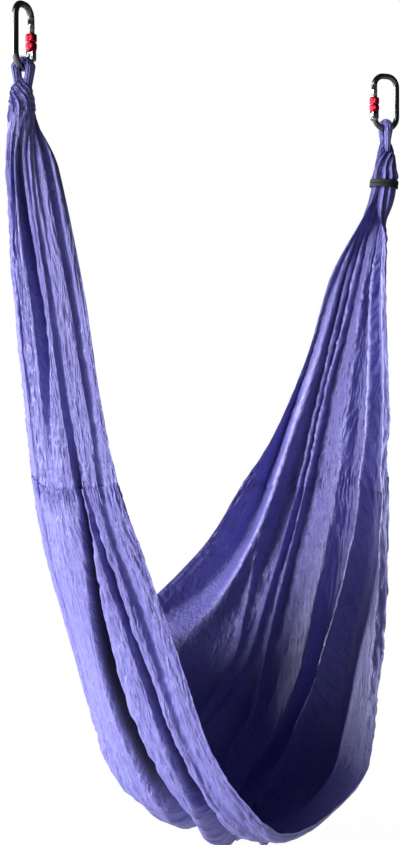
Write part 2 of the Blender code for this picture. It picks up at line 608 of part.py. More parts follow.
def sheet(bm, outer, inner):
    """Close a sheet from its outer and inner grids, both [row along][place across].

    Both faces are split along the same diagonals, so that stacked sheets lie parallel."""
    rows, places = outer.shape[:2]
    outside = [[bm.verts.new(point) for point in row] for row in outer.tolist()]
    inside = [[bm.verts.new(point) for point in row] for row in inner.tolist()]

    def quad(a, b, c, d):
        bm.faces.new((a, b, c))
        bm.faces.new((a, c, d))

    for r in range(rows - 1):
        for p in range(places - 1):
            quad(outside[r + 1][p], outside[r][p], outside[r][p + 1], outside[r + 1][p + 1])
            quad(inside[r + 1][p], inside[r + 1][p + 1], inside[r][p + 1], inside[r][p])
        quad(outside[r][0], outside[r + 1][0], inside[r + 1][0], inside[r][0])
        quad(outside[r + 1][-1], outside[r][-1], inside[r][-1], inside[r + 1][-1])
    for p in range(places - 1):
        quad(outside[0][p + 1], outside[0][p], inside[0][p], inside[0][p + 1])
        quad(outside[-1][p], outside[-1][p + 1], inside[-1][p + 1], inside[-1][p])
    return outward(bm)


def seat_panel(finish):
    lap_end = SEAM_STATION + LAP_STATIONS
    stations = np.array([SEAM_STATION, lap_end, *np.linspace(lap_end, LAST_STATION - lap_end, 24)[1:-1],
                         LAST_STATION - lap_end, LAST_STATION - SEAM_STATION])
    outer, inward = cloth(places_across(stations), stations[:, None])
    bm = sheet(bmesh.new(), outer, outer + inward * CLOTH_THICKNESS)
    return object_from("seat_panel", bm, finish)


def end_stations():
    """Stations of an end panel, counted from its own neck."""
    return np.array([0.0, 0.15, 0.30, 0.5, *BAND_STATIONS, 1.4, 1.9, 2.5, 3.1, 3.7, 4.3, SEAM_STATION,
                     SEAM_STATION + LAP_STATIONS])


def neck_section(from_neck, right):
    """Centre, sideways and inward directions and half sizes of the pressed neck at some stations."""
    station = LAST_STATION - from_neck if right else from_neck
    far, middle, near = (along_route(line, station) for line in (FAR_EDGE, MIDDLE, NEAR_EDGE))
    centre = (far + near + 2 * middle) / 4
    sideways = near - far
    sideways[:, 2] = 0.0
    sideways /= np.linalg.norm(sideways, axis=-1, keepdims=True)
    inwards = np.cross(sideways, (0.0, 0.0, 1.0 if right else -1.0))
    sizes = RIGHT_NECK if right else LEFT_NECK
    places, half_widths, half_depths = zip(*sizes)
    half_width = np.interp(from_neck, places, half_widths)[:, None]
    half_depth = np.interp(from_neck, places, half_depths)[:, None]
    return centre, sideways, inwards, half_width, half_depth


def end_rows(right):
    """Outer and inner grids of an end panel, solid at its neck and a single thickness below it."""
    from_neck = end_stations()
    station = LAST_STATION - from_neck if right else from_neck
    across = places_across(station)
    outer, inward = cloth(across, station[:, None])
    outer = outer + inward * (CLOTH_THICKNESS + LAP_GAP)
    inner = outer + inward * CLOTH_THICKNESS
    # The gathers fill the neck up to a line from edge to edge.
    filled = (1 - smooth_step(from_neck, *FILLED_STATIONS))[:, None, None]
    chord = outer[:, :1] * (1 - across[..., None]) + outer[:, -1:] * across[..., None]
    inner = inner * (1 - filled) + chord * filled
    # Above the leg the gathers are pressed into a rounded neck.
    pressed_to = RIGHT_PRESSED_TO if right else LEFT_PRESSED_TO
    pressed = (1 - smooth_step(from_neck, pressed_to, pressed_to + PRESSED_FADE))[:, None, None]
    centre, sideways, inwards, half_width, half_depth = (
        part[:, None] for part in neck_section(from_neck, right))
    turn = math.pi * across[..., None]
    smooth = smooth_step(from_neck, 0.3, 0.6) if right else np.zeros(len(from_neck))
    flutes = 1 - NECK_FLUTE_DEPTH * (1 - smooth)[:, None, None] * np.sin(NECK_FLUTES * turn) ** 2
    wide = -sideways * np.cos(turn) * half_width * flutes
    deep = inwards * np.sin(turn) * half_depth * flutes
    outer = outer * (1 - pressed) + (centre + wide - deep) * pressed
    inner = inner * (1 - pressed) + (centre + wide + deep) * pressed
    # Rows run from the left neck to the right one, as they do in the seat panel.
    return (outer[::-1], inner[::-1]) if right else (outer, inner)


def loop_shape(sides=20):
    """The loop of gathered cloth over the bottom bow, in the carabiner's own frame."""
    reach = BAR_RADIUS + SEAT_GAP + STRAND_THICKNESS / 2
    tail = BOTTOM_BAR_Z - LOOP_TAIL
    waist = reach * LOOP_WAIST
    path = [Vector((0.0, -waist, tail)), Vector((0.0, -(waist + reach) / 2, (tail + BOTTOM_BAR_Z) / 2))]
    for degrees in range(180, -1, -20):
        a = math.radians(degrees)
        path.append(Vector((0.0, reach * math.cos(a), BOTTOM_BAR_Z + reach * math.sin(a))))
    path += [Vector((0.0, (waist + reach) / 2, (tail + BOTTOM_BAR_Z) / 2)), Vector((0.0, waist, tail))]
    rings = []
    for i, point in enumerate(path):
        along = (path[min(i + 1, len(path) - 1)] - path[max(i - 1, 0)]).normalized()
        thin = along.cross(Vector((1, 0, 0)))
        twist = LOOP_TWIST * i / (len(path) - 1)
        ring = []
        for k in range(sides):
            a = 2 * math.pi * k / sides
            flute = 1 - LOOP_FLUTE_DEPTH * math.sin(LOOP_FLUTES * a / 2 + twist) ** 2
            ring.append(point + Vector((STRAND_WIDTH / 2 * math.cos(a) * flute, 0, 0))
                        + thin * STRAND_THICKNESS / 2 * math.sin(a) * flute)
        rings.append(ring)
    bm = bmesh.new()
    loft(bm, rings)
    return outward(bm)


def bow_clearance(angle, hang_point, yaw):
    """The bottom bow, a little fat, as the sling meets it when it has swung by angle."""
    bottom_z = BOTTOM_BAR_Z + HALF_WIDTH
    path = arc(0.0, bottom_z, HALF_WIDTH, 200, 340, 14)
    size = BAR_DIAMETER + 2 * SEAT_GAP
    bm = swept(path, size, size, 16, Vector((0, 1, 0)))
    bmesh.ops.rotate(bm, verts=bm.verts, matrix=Matrix.Rotation(yaw, 3, "Z"))
    bmesh.ops.rotate(bm, verts=bm.verts, cent=(0.0, 0.0, BOTTOM_BAR_Z), matrix=Matrix.Rotation(angle, 3, "X"))
    bmesh.ops.translate(bm, verts=bm.verts, vec=hang_point)
    return bm


def end_panel(name, finish, hang_point, yaw, right):
    """An end panel: the leg and its neck, joined to the loop, with the eye for the bow cut clear."""
    outer, inner = end_rows(right)
    cloth_body = sheet(bmesh.new(), outer, inner)
    # The two faces of the pressed neck meet at the edges.
    bmesh.ops.remove_doubles(cloth_body, verts=cloth_body.verts, dist=1e-6)
    panel = object_from(name, cloth_body, finish)
    loop = loop_shape()
    bmesh.ops.rotate(loop, verts=loop.verts, matrix=Matrix.Rotation(yaw, 3, "Z"))
    bmesh.ops.translate(loop, verts=loop.verts, vec=hang_point)
    boolean(panel, object_from("loop", loop), "UNION")
    for share in (-1.0, -0.5, 0.0, 0.5, 1.0):
        clearance = bow_clearance(share * SWING_LIMIT, hang_point, yaw)
        boolean(panel, object_from("bow_clearance", clearance), "DIFFERENCE")
    return panel


def lap_line(rows, share):
    """A line along a lap, part of the way across it, that lies on the flat faces of the lap's layers."""
    line = np.empty((2 * rows.shape[1] - 1, 3))
    line[0::2] = rows[0] * (1 - share) + rows[1] * share
    line[1::2] = rows[0, 1:] * (1 - share) + rows[1, :-1] * share
    return line


def seam_thread(name, finish, right):
    """The row of stitches along a lap, a thin cord lying on the end panel's inner face."""
    start = LAST_STATION - SEAM_STATION - LAP_STATIONS if right else SEAM_STATION
    station = np.array([start, start + LAP_STATIONS])
    points, inward = cloth(places_across(station), station[:, None])
    half = 0.5 * THREAD_WIDTH / np.linalg.norm(points[1] - points[0], axis=-1).mean()
    lift = 2 * CLOTH_THICKNESS + LAP_GAP + THREAD_GAP
    floor = points + inward * lift
    roof = points + inward * (lift + THREAD_HEIGHT)
    outer = np.stack([lap_line(floor, 0.5 - half), lap_line(floor, 0.5 + half)])
    inner = np.stack([lap_line(roof, 0.5 - half), lap_line(roof, 0.5 + half)])
    return object_from(name, sheet(bmesh.new(), outer, inner), finish)


def band_profile():
    """Closed half section of the elastic band: two wraps with a groove between them."""
    half = BAND_HEIGHT / 2
    quarter = BAND_HEIGHT / 4
    full = BAND_THICKNESS
    soft = BAND_ROUNDING
    return [(0.0, -half), (full - soft, -half), (full, -half + soft), (full, -soft),
            (full - BAND_GROOVE_DEPTH, 0.0), (full, soft), (full, half - soft), (full - soft, half),
            (0.0, half), (0.0, quarter), (0.0, -quarter)]


def neck_band(name, finish, sides=32):
    """The elastic band round the right neck."""
    centre, sideways, inwards, half_width, half_depth = neck_section(np.array(BAND_STATIONS), True)
    share = (BOTTOM_BAR_Z - BAND_DROP - centre[0, 2]) / (centre[1, 2] - centre[0, 2])
    middle = Vector(centre[0] + (centre[1] - centre[0]) * share)
    axis = Vector(centre[0] - centre[1]).normalized()
    bm = bmesh.new()
    rings = []
    for k in range(sides):
        a = 2 * math.pi * k / sides
        out = Vector(sideways[0]) * math.cos(a) + Vector(inwards[0]) * math.sin(a)
        seat = (Vector(sideways[0]) * math.cos(a) * (half_width[0, 0] + BAND_GAP)
                + Vector(inwards[0]) * math.sin(a) * (half_depth[0, 0] + BAND_GAP))
        rings.append([bm.verts.new(middle + seat + out * r + axis * h) for r, h in band_profile()])
    for k, ring in enumerate(rings):
        following = rings[(k + 1) % sides]
        for i, corner in enumerate(ring):
            j = (i + 1) % len(ring)
            bm.faces.new((corner, following[i], following[j], ring[j]))
    return object_from(name, outward(bm), finish, None, middle)


def main():
    for old in list(bpy.data.objects):
        bpy.data.objects.remove(old)
    steel = material("polished_steel", (0.42, 0.42, 0.44), 0.18, 1.0)
    bright = material("bright_steel", (0.62, 0.62, 0.64), 0.25, 1.0)
    red = material("red_anodised", (0.62, 0.02, 0.03), 0.3, 0.8)
    nylon = material("violet_nylon", (0.20, 0.19, 0.60), 0.55, 0.0)
    thread = material("seam_thread", (0.16, 0.15, 0.45), 0.7, 0.0)
    black = material("black_elastic", (0.012, 0.012, 0.014), 0.8, 0.0)
    left = Vector((0.0, 0.0, 0.0))
    right = Vector((ANCHOR_SPACING, 0.0, 0.0))
    carabiner("left", left, LEFT_GATE_YAW, (steel, bright, red))
    carabiner("right", right, RIGHT_GATE_YAW, (steel, bright, red))
    end_panel("left_end_panel", nylon, left, LEFT_GATE_YAW, False)
    end_panel("right_end_panel", nylon, right, RIGHT_GATE_YAW, True)
    seat_panel(nylon)
    seam_thread("left_seam_thread", thread, False)
    seam_thread("right_seam_thread", thread, True)
    neck_band("neck_band", black)


main()
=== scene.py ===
"""Looks of an aerial yoga hammock: crinkled parachute cloth hung from two screw-lock carabiners.

Metres, +Z up. The origin is the left hang point, on the inside of the left carabiner's top bow.
"""

import json
import math

import bmesh
import bpy
import numpy as np
from mathutils import Matrix, Vector

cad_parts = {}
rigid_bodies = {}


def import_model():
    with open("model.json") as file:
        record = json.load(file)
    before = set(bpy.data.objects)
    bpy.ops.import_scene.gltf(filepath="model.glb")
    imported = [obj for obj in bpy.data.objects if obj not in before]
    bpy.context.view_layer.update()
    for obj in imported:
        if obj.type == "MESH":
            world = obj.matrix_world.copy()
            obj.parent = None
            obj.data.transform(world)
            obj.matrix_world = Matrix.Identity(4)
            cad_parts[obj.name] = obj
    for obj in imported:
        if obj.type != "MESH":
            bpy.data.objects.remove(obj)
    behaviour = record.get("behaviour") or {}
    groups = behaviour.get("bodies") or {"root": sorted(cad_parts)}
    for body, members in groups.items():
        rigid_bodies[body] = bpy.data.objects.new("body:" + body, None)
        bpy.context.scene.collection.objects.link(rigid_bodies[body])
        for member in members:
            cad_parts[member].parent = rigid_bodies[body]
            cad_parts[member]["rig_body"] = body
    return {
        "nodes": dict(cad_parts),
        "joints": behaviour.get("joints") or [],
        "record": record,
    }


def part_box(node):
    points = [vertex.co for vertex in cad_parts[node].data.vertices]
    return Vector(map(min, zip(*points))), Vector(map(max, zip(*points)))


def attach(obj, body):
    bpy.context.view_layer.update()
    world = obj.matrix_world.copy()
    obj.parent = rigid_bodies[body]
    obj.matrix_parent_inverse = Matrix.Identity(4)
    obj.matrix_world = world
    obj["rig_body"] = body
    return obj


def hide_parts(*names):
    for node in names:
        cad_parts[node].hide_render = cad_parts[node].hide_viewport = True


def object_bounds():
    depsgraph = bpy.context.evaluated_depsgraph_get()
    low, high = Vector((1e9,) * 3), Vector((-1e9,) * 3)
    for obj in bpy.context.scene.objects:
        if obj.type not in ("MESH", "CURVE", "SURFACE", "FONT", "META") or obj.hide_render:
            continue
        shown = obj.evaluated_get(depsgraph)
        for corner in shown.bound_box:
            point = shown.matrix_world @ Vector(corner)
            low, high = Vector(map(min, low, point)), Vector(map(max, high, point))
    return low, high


bl_info = {
    "name": "Aerial yoga hammock",
    "version": (1, 0, 0),
    "blender": (4, 5, 0),
    "location": "3D View > Sidebar > Hammock",
    "description": "Dresses the hammock's frame in crinkled cloth, polished steel and anodised sleeves",
    "category": "Object",
}

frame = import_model()
CAD_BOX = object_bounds()
FINISH_ENDING = "_finish"

# Places that the frame gives
JOINTS = {joint["name"]: joint for joint in frame["joints"]}
HANG_POINTS = {mount["name"].split("_")[0]: Vector(mount["pos_m"]) for mount in frame["record"]["mounts"]}
ANCHOR_SPACING = HANG_POINTS["right"].x - HANG_POINTS["left"].x
BOW_Z = JOINTS["sling_swing"]["pos_m"][2]

# The sling's stations, its flat cloth, its laps, hems and seams. FACE_CUT is about the modelled seat's girth,
# and TAPERED_SHARE is an end panel's part of its rectangle. Both were chosen to agree with the modelled areas
# and aren't measured from a real cut. HEM_GAP is how far the seat panel hangs back below the right lap's free
# hem, and SEAM_ROWS is where the two rows of stitches lie across a lap.
LAST_STATION = 20.0
SEAM_STATION = 5.0
LAP_STATIONS = 0.17
STATION_LENGTH = 0.135
FACE_CUT = 0.72
TAPERED_SHARE = 0.56
LAP_LIFT = 0.0022
HEM_GAP = 0.014
HEM_GAP_PLACE = 0.840
HEM_GAP_WIDTH = 0.026
HEM_RISE = 0.0009
HEM_WAVE_HEIGHT = 0.0005
HEM_WAVE_LENGTH = 0.013
STITCH_INSET = 0.8
STITCH_SPACING = 1.5
SEAM_ROWS = (0.22, 0.78)
PUCKER_LENGTH = 0.011
PUCKER_REACH = 0.13

# Crushed cloth: waves per metre across and along the cloth, and their share of the crinkles' height.
# TUCKED_CALM is how much the tucked cloth is pulled smooth.
CRUSHED_WAVES = (44, 17, 0.60)
CRUSHED_CREASES = (80, 34, 0.62)
FINE_CREASES = (150, 70, 0.40)
CREASE_BEND = 0.016
CREASE_WAVER = 0.006
TUCKED_CALM = 0.8

# Loops over the bows. A pair of values is for the left and the right loop.
LOOP_WIDTH = 0.024
LOOP_THICKNESS = 0.0132
LOOP_WAIST = 0.0055
LOOP_TAIL = 0.042
LOOP_CLEARANCE = 0.0003
LOOP_TWIST = (-2.9, 2.6)
LOOP_NARROWED = (1.0, 0.76)

# Neck band. BAND_STEP is the part of its length where it steps from one wrap to the other.
BAND_TAPE = 0.0070
BAND_THICKNESS = 0.0028
BAND_PITCH = 0.0075
BAND_CLEARANCE = 0.0006
BAND_STATION = 0.85
BAND_END_TUCK = 0.0017
BAND_START = math.radians(70)
BAND_END = math.radians(70 + 2 * 360 + 24)
BAND_STEP = (0.42, 0.58)

# Carabiners. THREAD_TOP is how far the gate's thread ends below the hang point.
BAR_RADIUS = 0.00525
GATE_RADIUS = 0.0053
BORE_RADIUS = 0.0056
SLEEVE_RADIUS = 0.009
SLEEVE_CROWN = 0.00025
THREAD_TOP = 0.0275
THREAD_ROOM = 0.0004
THREAD_ROOT = 0.0002
COLLAR_ROOM = 0.0006
SCRATCH_DEPTH = 0.00004
JOIN_REACH = 1e-6

# Stage: each lamp's turn from the camera's side of the sling and its rise, in degrees
LAMPS = {"side": (-69.0, 7.0), "front": (-50.0, 30.0), "rear": (-116.0, 12.0)}
SENSOR_WIDTH = 36.0
FLOOR_HALF_SIDE = 14.0
FLOOR_FADE = 4.0
MIRRORED_ROOM = 0.03
WHITE = (1.0, 1.0, 1.0, 1.0)

# Routes of the sling in millimetres, one row for each station: a leg's points are (inwards from its hang
# point, across, height), and the seat's are (from the middle of the anchor spacing, across, height). Heights
# are from the centre of the bottom bow.
LEFT_NEAR_EDGE = (
    (14, -14, -20), (30, -30, -98), (48, -50, -218), (67, -70, -364), (82, -85, -508),
    (101, -105, -638), (134, -130, -755), (164, -162, -883), (196, -205, -1034))
SEAT_NEAR_EDGE = ((-168, -250, -1143), (-75, -255, -1186), (74, -250, -1126))
RIGHT_NEAR_EDGE = (
    (6, -14, -20), (14, -22, -113), (30, -30, -192), (52.5, -50, -322), (70, -75, -486),
    (102, -100, -639), (151, -140, -828), (212, -180, -951), (280, -220, -1063))
LEFT_MIDDLE = (
    (-12, 2, -20), (-22, 6, -98), (-4, 28, -218), (22, 38, -364), (49, 45, -508), (75, 50, -643),
    (107, 50, -768), (155, 50, -898), (200, 40, -1038))
SEAT_MIDDLE = ((-165, 20, -1153), (-15, -30, -1243), (160, 0, -1153))
RIGHT_MIDDLE = (
    (-12, 2, -20), (-18, 4, -113), (2, 20, -208), (22, 30, -348), (43, 40, -498), (68, 45, -643),
    (100, 40, -768), (140, 35, -898), (185, 20, -1038))
LEFT_FAR_EDGE = (
    (4, 15, -20), (14, 32, -98), (55, 70, -208), (88, 110, -348), (125, 145, -478), (162, 173, -588),
    (208, 210, -688), (268, 250, -783), (325, 285, -863))
SEAT_FAR_EDGE = ((-48, 305, -908), (0, 315, -928), (55, 315, -908))
RIGHT_FAR_EDGE = (
    (6, 15, -20), (25, 32, -113), (61, 78, -258), (90, 118, -422), (126, 168, -565), (165, 204, -650),
    (208, 245, -749), (250, 272, -808), (304, 300, -865))

# Folds that stand into the sling. Each row is (station, place across from the far edge, height, width
# towards the far edge, width towards the near edge). Heights are in millimetres, and places and widths in
# thousandths of the cloth's width. A height below zero is a bulge away from the sling.
UNDER_FAR_EDGE = (
    (1.0, 60, 0, 40, 80), (3.0, 60, -4, 40, 80), (8.0, 60, -6, 40, 100), (11.0, 30, -14, 30, 60),
    (11.9, 40, -22, 30, 60), (12.6, 75, -32, 55, 60), (13.3, 95, -40, 75, 50), (14.3, 100, -44, 80, 50),
    (15.2, 85, -34, 65, 50), (16.2, 55, -16, 40, 50), (17.4, 30, -2, 30, 50))
FAR_STRIP = (
    (9.0, 140, 4, 50, 60), (11.0, 110, 10, 45, 50), (11.9, 115, 22, 45, 50), (12.6, 140, 32, 45, 45),
    (13.4, 165, 36, 45, 42), (14.2, 170, 36, 45, 42), (15.0, 155, 34, 45, 50), (16.0, 130, 26, 50, 60),
    (17.0, 100, 14, 50, 60), (18.2, 90, 5, 50, 50), (19.2, 100, 2, 50, 50))
DIM_RIDGE = (
    (9.6, 220, 2, 20, 20), (11.0, 225, 10, 18, 18), (12.1, 230, 11, 16, 16), (13.2, 205, 10, 16, 16),
    (14.3, 185, 6, 16, 16), (15.2, 170, 1, 16, 16))
THIN_RIDGE = (
    (9.8, 235, 4, 20, 20), (11.3, 262, 10, 14, 12), (12.6, 275, 13, 12, 11), (13.4, 278, 14, 11, 10),
    (14.4, 272, 14, 11, 10), (15.0, 265, 14, 11, 11), (16.1, 235, 12, 13, 13), (17.0, 195, 9, 15, 15),
    (18.2, 180, 4, 20, 20), (19.2, 190, 2, 20, 20))
BAND_FOOT_RIDGE = (
    (0.8, 550, 3, 20, 20), (1.4, 570, 10, 15, 15), (2.7, 490, 15, 18, 14), (4.0, 450, 14, 18, 14),
    (5.4, 420, 10, 20, 20), (7.5, 370, 10, 30, 30), (9.5, 340, 14, 30, 30), (10.5, 335, 18, 22, 18),
    (11.4, 335, 18, 18, 14), (12.2, 325, 18, 15, 12), (13.1, 325, 18, 13, 11), (14.4, 315, 18, 13, 11),
    (15.6, 295, 15, 14, 12), (16.6, 270, 12, 15, 15), (17.8, 270, 6, 20, 20), (19.2, 300, 2, 20, 20))
BLACK_SLOT_AND_BAND = (
    (1.2, 810, 2, 15, 15), (3.0, 800, 10, 12, 26), (4.2, 795, 15, 12, 22), (5.0, 790, 24, 12, 20),
    (5.6, 765, 36, 12, 22), (6.2, 715, 56, 14, 30), (6.7, 665, 72, 15, 38), (7.2, 630, 86, 16, 48),
    (7.9, 640, 92, 18, 60), (8.4, 668, 86, 20, 56), (8.9, 695, 68, 26, 50), (9.3, 625, 56, 36, 56),
    (9.8, 500, 52, 60, 46), (10.4, 430, 48, 90, 36), (11.1, 435, 44, 110, 34), (11.7, 460, 40, 120, 34),
    (12.7, 500, 34, 130, 40), (14.0, 505, 26, 130, 50), (15.0, 520, 22, 140, 50),
    (16.4, 490, 16, 140, 50), (17.6, 450, 10, 100, 50), (19.2, 440, 3, 50, 50))
NEAR_SLOT_AND_CREST = (
    (4.9, 835, 2, 8, 12), (5.5, 828, 14, 8, 16), (6.2, 828, 22, 8, 18), (7.0, 838, 28, 9, 20),
    (7.8, 848, 36, 10, 24), (8.4, 848, 44, 12, 32), (8.9, 825, 48, 18, 46), (9.4, 755, 57, 40, 60),
    (9.9, 640, 66, 55, 80), (10.4, 540, 68, 50, 80), (11.0, 530, 66, 40, 60), (11.6, 560, 64, 42, 50),
    (12.3, 630, 60, 60, 40), (13.0, 685, 52, 75, 30), (13.9, 725, 42, 85, 24), (14.6, 765, 34, 90, 20),
    (15.3, 790, 28, 85, 18), (16.2, 770, 22, 80, 18), (17.1, 690, 16, 70, 20), (18.2, 600, 8, 50, 30),
    (19.2, 580, 3, 40, 30))
BLUE_SLOT = (
    (0.8, 660, 2, 14, 40), (1.5, 665, 22, 13, 50), (2.2, 668, 32, 14, 55), (3.0, 668, 34, 14, 55),
    (3.6, 660, 27, 14, 46), (4.1, 640, 12, 16, 34), (4.7, 630, 1, 20, 30))
BOWL_FLOOR = (
    (8.8, 780, 2, 100, 100), (9.3, 800, 22, 100, 100), (9.7, 815, 56, 120, 110),
    (10.1, 825, 62, 130, 110), (10.5, 820, 48, 120, 100), (11.2, 800, 34, 110, 100),
    (12.2, 800, 20, 100, 80), (13.4, 840, 8, 60, 60), (14.4, 880, 2, 50, 50))
LEFT_LOBE = (
    (6.6, 400, 0, 200, 140), (7.6, 400, -2, 200, 140), (8.3, 400, -8, 200, 140),
    (8.8, 450, -16, 200, 140), (9.2, 500, -10, 180, 120), (9.8, 550, -2, 150, 100))
SEAT_LIFT = (
    (9.2, 560, 0, 90, 90), (9.65, 610, 20, 90, 90), (9.95, 600, 34, 90, 100), (10.2, 680, 30, 100, 100),
    (10.6, 700, 12, 90, 90), (11.2, 700, 0, 80, 80))
NEAR_STRIP_LINE = (
    (1.0, 930, 2, 10, 20), (2.2, 930, 8, 9, 24), (3.4, 935, 9, 9, 24), (4.4, 940, 7, 10, 24),
    (5.5, 900, 7, 10, 26), (6.6, 905, 12, 10, 30), (7.3, 912, 10, 10, 26), (8.6, 930, 5, 20, 20),
    (10.5, 940, 6, 30, 30), (12.0, 945, 12, 26, 30), (13.5, 945, 15, 24, 30), (15.0, 945, 10, 24, 30),
    (16.5, 920, 8, 20, 20), (18.0, 900, 6, 20, 20), (19.2, 880, 2, 20, 20))
FOLDS = (UNDER_FAR_EDGE, FAR_STRIP, DIM_RIDGE, THIN_RIDGE, BAND_FOOT_RIDGE, BLACK_SLOT_AND_BAND,
         NEAR_SLOT_AND_CREST, BLUE_SLOT, BOWL_FLOOR, LEFT_LOBE, SEAT_LIFT, NEAR_STRIP_LINE)
FOLD_FALL = 1.6
FOLD_ROUNDNESS = 1.7
FOLD_FADE = 0.6

# Gathered necks: (station from the neck, half width, half depth)
LEFT_NECK = ((0.0, 0.0140, 0.0135), (0.30, 0.0190, 0.0175), (1.0, 0.0300, 0.0220), (1.4, 0.0340, 0.0240))
RIGHT_NECK = ((0.0, 0.0100, 0.0105), (0.30, 0.0150, 0.0135), (0.50, 0.0190, 0.0160), (0.68, 0.0240, 0.0190),
              (0.77, 0.0268, 0.0200), (0.84, 0.0245, 0.0195), (1.0, 0.0245, 0.0195), (1.4, 0.0280, 0.0220))

# How the cloth is pressed, pleated and wrung into the necks. A pair of values is for the left and the right.
PRESSED_TO = (0.3, 1.0)
PRESSED_FADE = 1.2
PLEAT_HEIGHT = 0.0055
NECK_PLEATS = 11
NECK_GROOVE = 0.42
NECK_TOP = -0.13
NECK_TIP = 0.45
NECK_ROUND = 0.97 * math.pi
NECK_CRUMPLE = (0.13, 0.05)
NECK_WRUNG = (math.radians(-95), math.radians(-150))


def colour_setting(name, description, default):
    """A colour that a user can change."""
    return bpy.props.FloatVectorProperty(
        name=name, description=description, subtype="COLOR", size=3, min=0.0, max=1.0, default=default)


def length_setting(name, description, default, low=0.0, high=10.0):
    """A length in metres that a user can change."""
    return bpy.props.FloatProperty(
        name=name, description=description, subtype="DISTANCE", unit="LENGTH", default=default, min=low,
        max=high)


def power_setting(name, description, default):
    """A lamp's power in watts."""
    return bpy.props.FloatProperty(
        name=name, description=description, unit="POWER", default=default, min=0.0)


class ClothSizes(bpy.types.PropertyGroup):
    """Sizes and colours of the cloth, its loops, its stitches and the neck band."""
    colour: colour_setting("Cloth colour", "Colour of the dyed nylon", (0.130, 0.118, 0.44))
    # Partly a painted highlight and partly uneven tone: the cloth is lighter along the crests of its creases
    # and in large patches.
    highlight_and_tone_colour: colour_setting(
        "Creased colour", "Colour of the nylon where it is rubbed along its creases", (0.185, 0.178, 0.52))
    # Painted shade: a near-black blue that stands in for the shadow deep inside the left leg's two narrow
    # folds.
    painted_fold_shade_colour: colour_setting(
        "Tucked colour", "Colour of the nylon deep inside its folds, where the dye is darkest",
        (0.013, 0.012, 0.045))
    through_colour: colour_setting(
        "Colour of light through", "Colour of the light that comes through the cloth", (0.05, 0.045, 0.34))
    see_through: bpy.props.FloatProperty(
        name="Light through", description="Share of the light that the cloth lets through", subtype="FACTOR",
        default=0.05, min=0.0, max=1.0)
    crinkle: length_setting("Crinkle height", "Height of the crinkles in the cloth", 0.003, 0.0, 0.006)
    pucker: length_setting("Pucker height", "Height of the puckers along the cross seams", 0.002, 0.0, 0.005)
    hem_width: length_setting("Hem width", "Width of the folded hems along both edges", 0.010, 0.003, 0.03)
    stitch_length: length_setting("Stitch length", "Length of one stitch", 0.0030, 0.001, 0.01)
    thread_width: length_setting("Thread width", "Thickness of the sewing thread", 0.0006, 0.0002, 0.002)
    thread_colour: colour_setting("Thread colour", "Colour of the sewing thread", (0.10, 0.095, 0.42))
    band_colour: colour_setting("Band colour", "Colour of the elastic neck band", (0.007, 0.0065, 0.008))


class SteelSizes(bpy.types.PropertyGroup):
    """Colours and fine sizes of the carabiners."""
    bow_colour: colour_setting("Bow colour", "Colour of the polished bow", (0.12, 0.12, 0.125))
    bright_colour: colour_setting(
        "Gate colour", "Colour of the bright gate, rivet and thread", (0.46, 0.46, 0.47))
    sleeve_colour: colour_setting(
        "Sleeve colour", "Colour of the anodised lock sleeve", (0.40, 0.018, 0.040))
    thread_pitch: length_setting(
        "Thread pitch", "Pitch of the screw thread on the gate", 0.0015, 0.0005, 0.004)
    thread_height: length_setting(
        "Thread height", "How far the thread stands out of the gate", 0.00022, 0.00005, 0.00028)
    knurls: bpy.props.IntProperty(
        name="Knurls", description="Grip ribs round the lock sleeve", default=36, min=8, max=80)
    knurl_depth: length_setting(
        "Knurl depth", "Depth of the grooves between the grip ribs", 0.00045, 0.0, 0.001)


class StageSizes(bpy.types.PropertyGroup):
    """The camera, the lights and the floor."""
    distance: length_setting(
        "Camera distance", "Level distance from the camera to the left hang point", 2.76, 1.0)
    aside: length_setting(
        "Camera offset", "How far the camera's line passes to the right of the left hang point", 0.271)
    eye_drop: length_setting("Eye drop", "How far the camera is below the hang points", 0.6355)
    heading: bpy.props.FloatProperty(
        name="Camera heading", description="Level angle from +Y to the direction that the camera looks in",
        subtype="ANGLE", unit="ROTATION", default=math.radians(43.0))
    lens: bpy.props.FloatProperty(
        name="Focal length", description="Focal length in millimetres", unit="CAMERA", default=76.69,
        min=20.0, max=200.0)
    side_power: power_setting("Side lamp", "Power of the big soft lamp at the left", 600.0)
    front_power: power_setting("Front lamp", "Power of the soft lamp high up in front on the left", 150.0)
    rear_power: power_setting("Rear lamp", "Power of the soft lamp behind on the left", 560.0)
    lamp_size: length_setting("Lamp size", "Side of each square lamp", 2.8, 0.2, 4.0)
    lamp_distance: length_setting(
        "Lamp distance", "Distance from the lamps to the middle of the sling", 7.0, 1.5, 12.0)
    room_light: bpy.props.FloatProperty(
        name="Room light", description="Strength of the even light from all around", default=0.015, min=0.0)
    floor_drop: length_setting("Floor drop", "How far the floor is below the lowest cloth", 0.42, 0.02, 2.0)


# Finishes

class Shade:
    """One output of a node, which can be used in sums."""

    def __init__(self, recipe, socket):
        self.recipe = recipe
        self.socket = socket

    def sum(self, operation, *values):
        """One step of shader arithmetic."""
        return self.recipe.node("ShaderNodeMath", {"operation": operation}, dict(enumerate(values)))

    def __add__(self, other):
        return self.sum("ADD", self, other)

    def __radd__(self, other):
        return self.sum("ADD", other, self)

    def __sub__(self, other):
        return self.sum("SUBTRACT", self, other)

    def __rsub__(self, other):
        return self.sum("SUBTRACT", other, self)

    def __mul__(self, other):
        return self.sum("MULTIPLY", self, other)

    def __rmul__(self, other):
        return self.sum("MULTIPLY", other, self)

    def __abs__(self):
        return self.sum("ABSOLUTE", self)


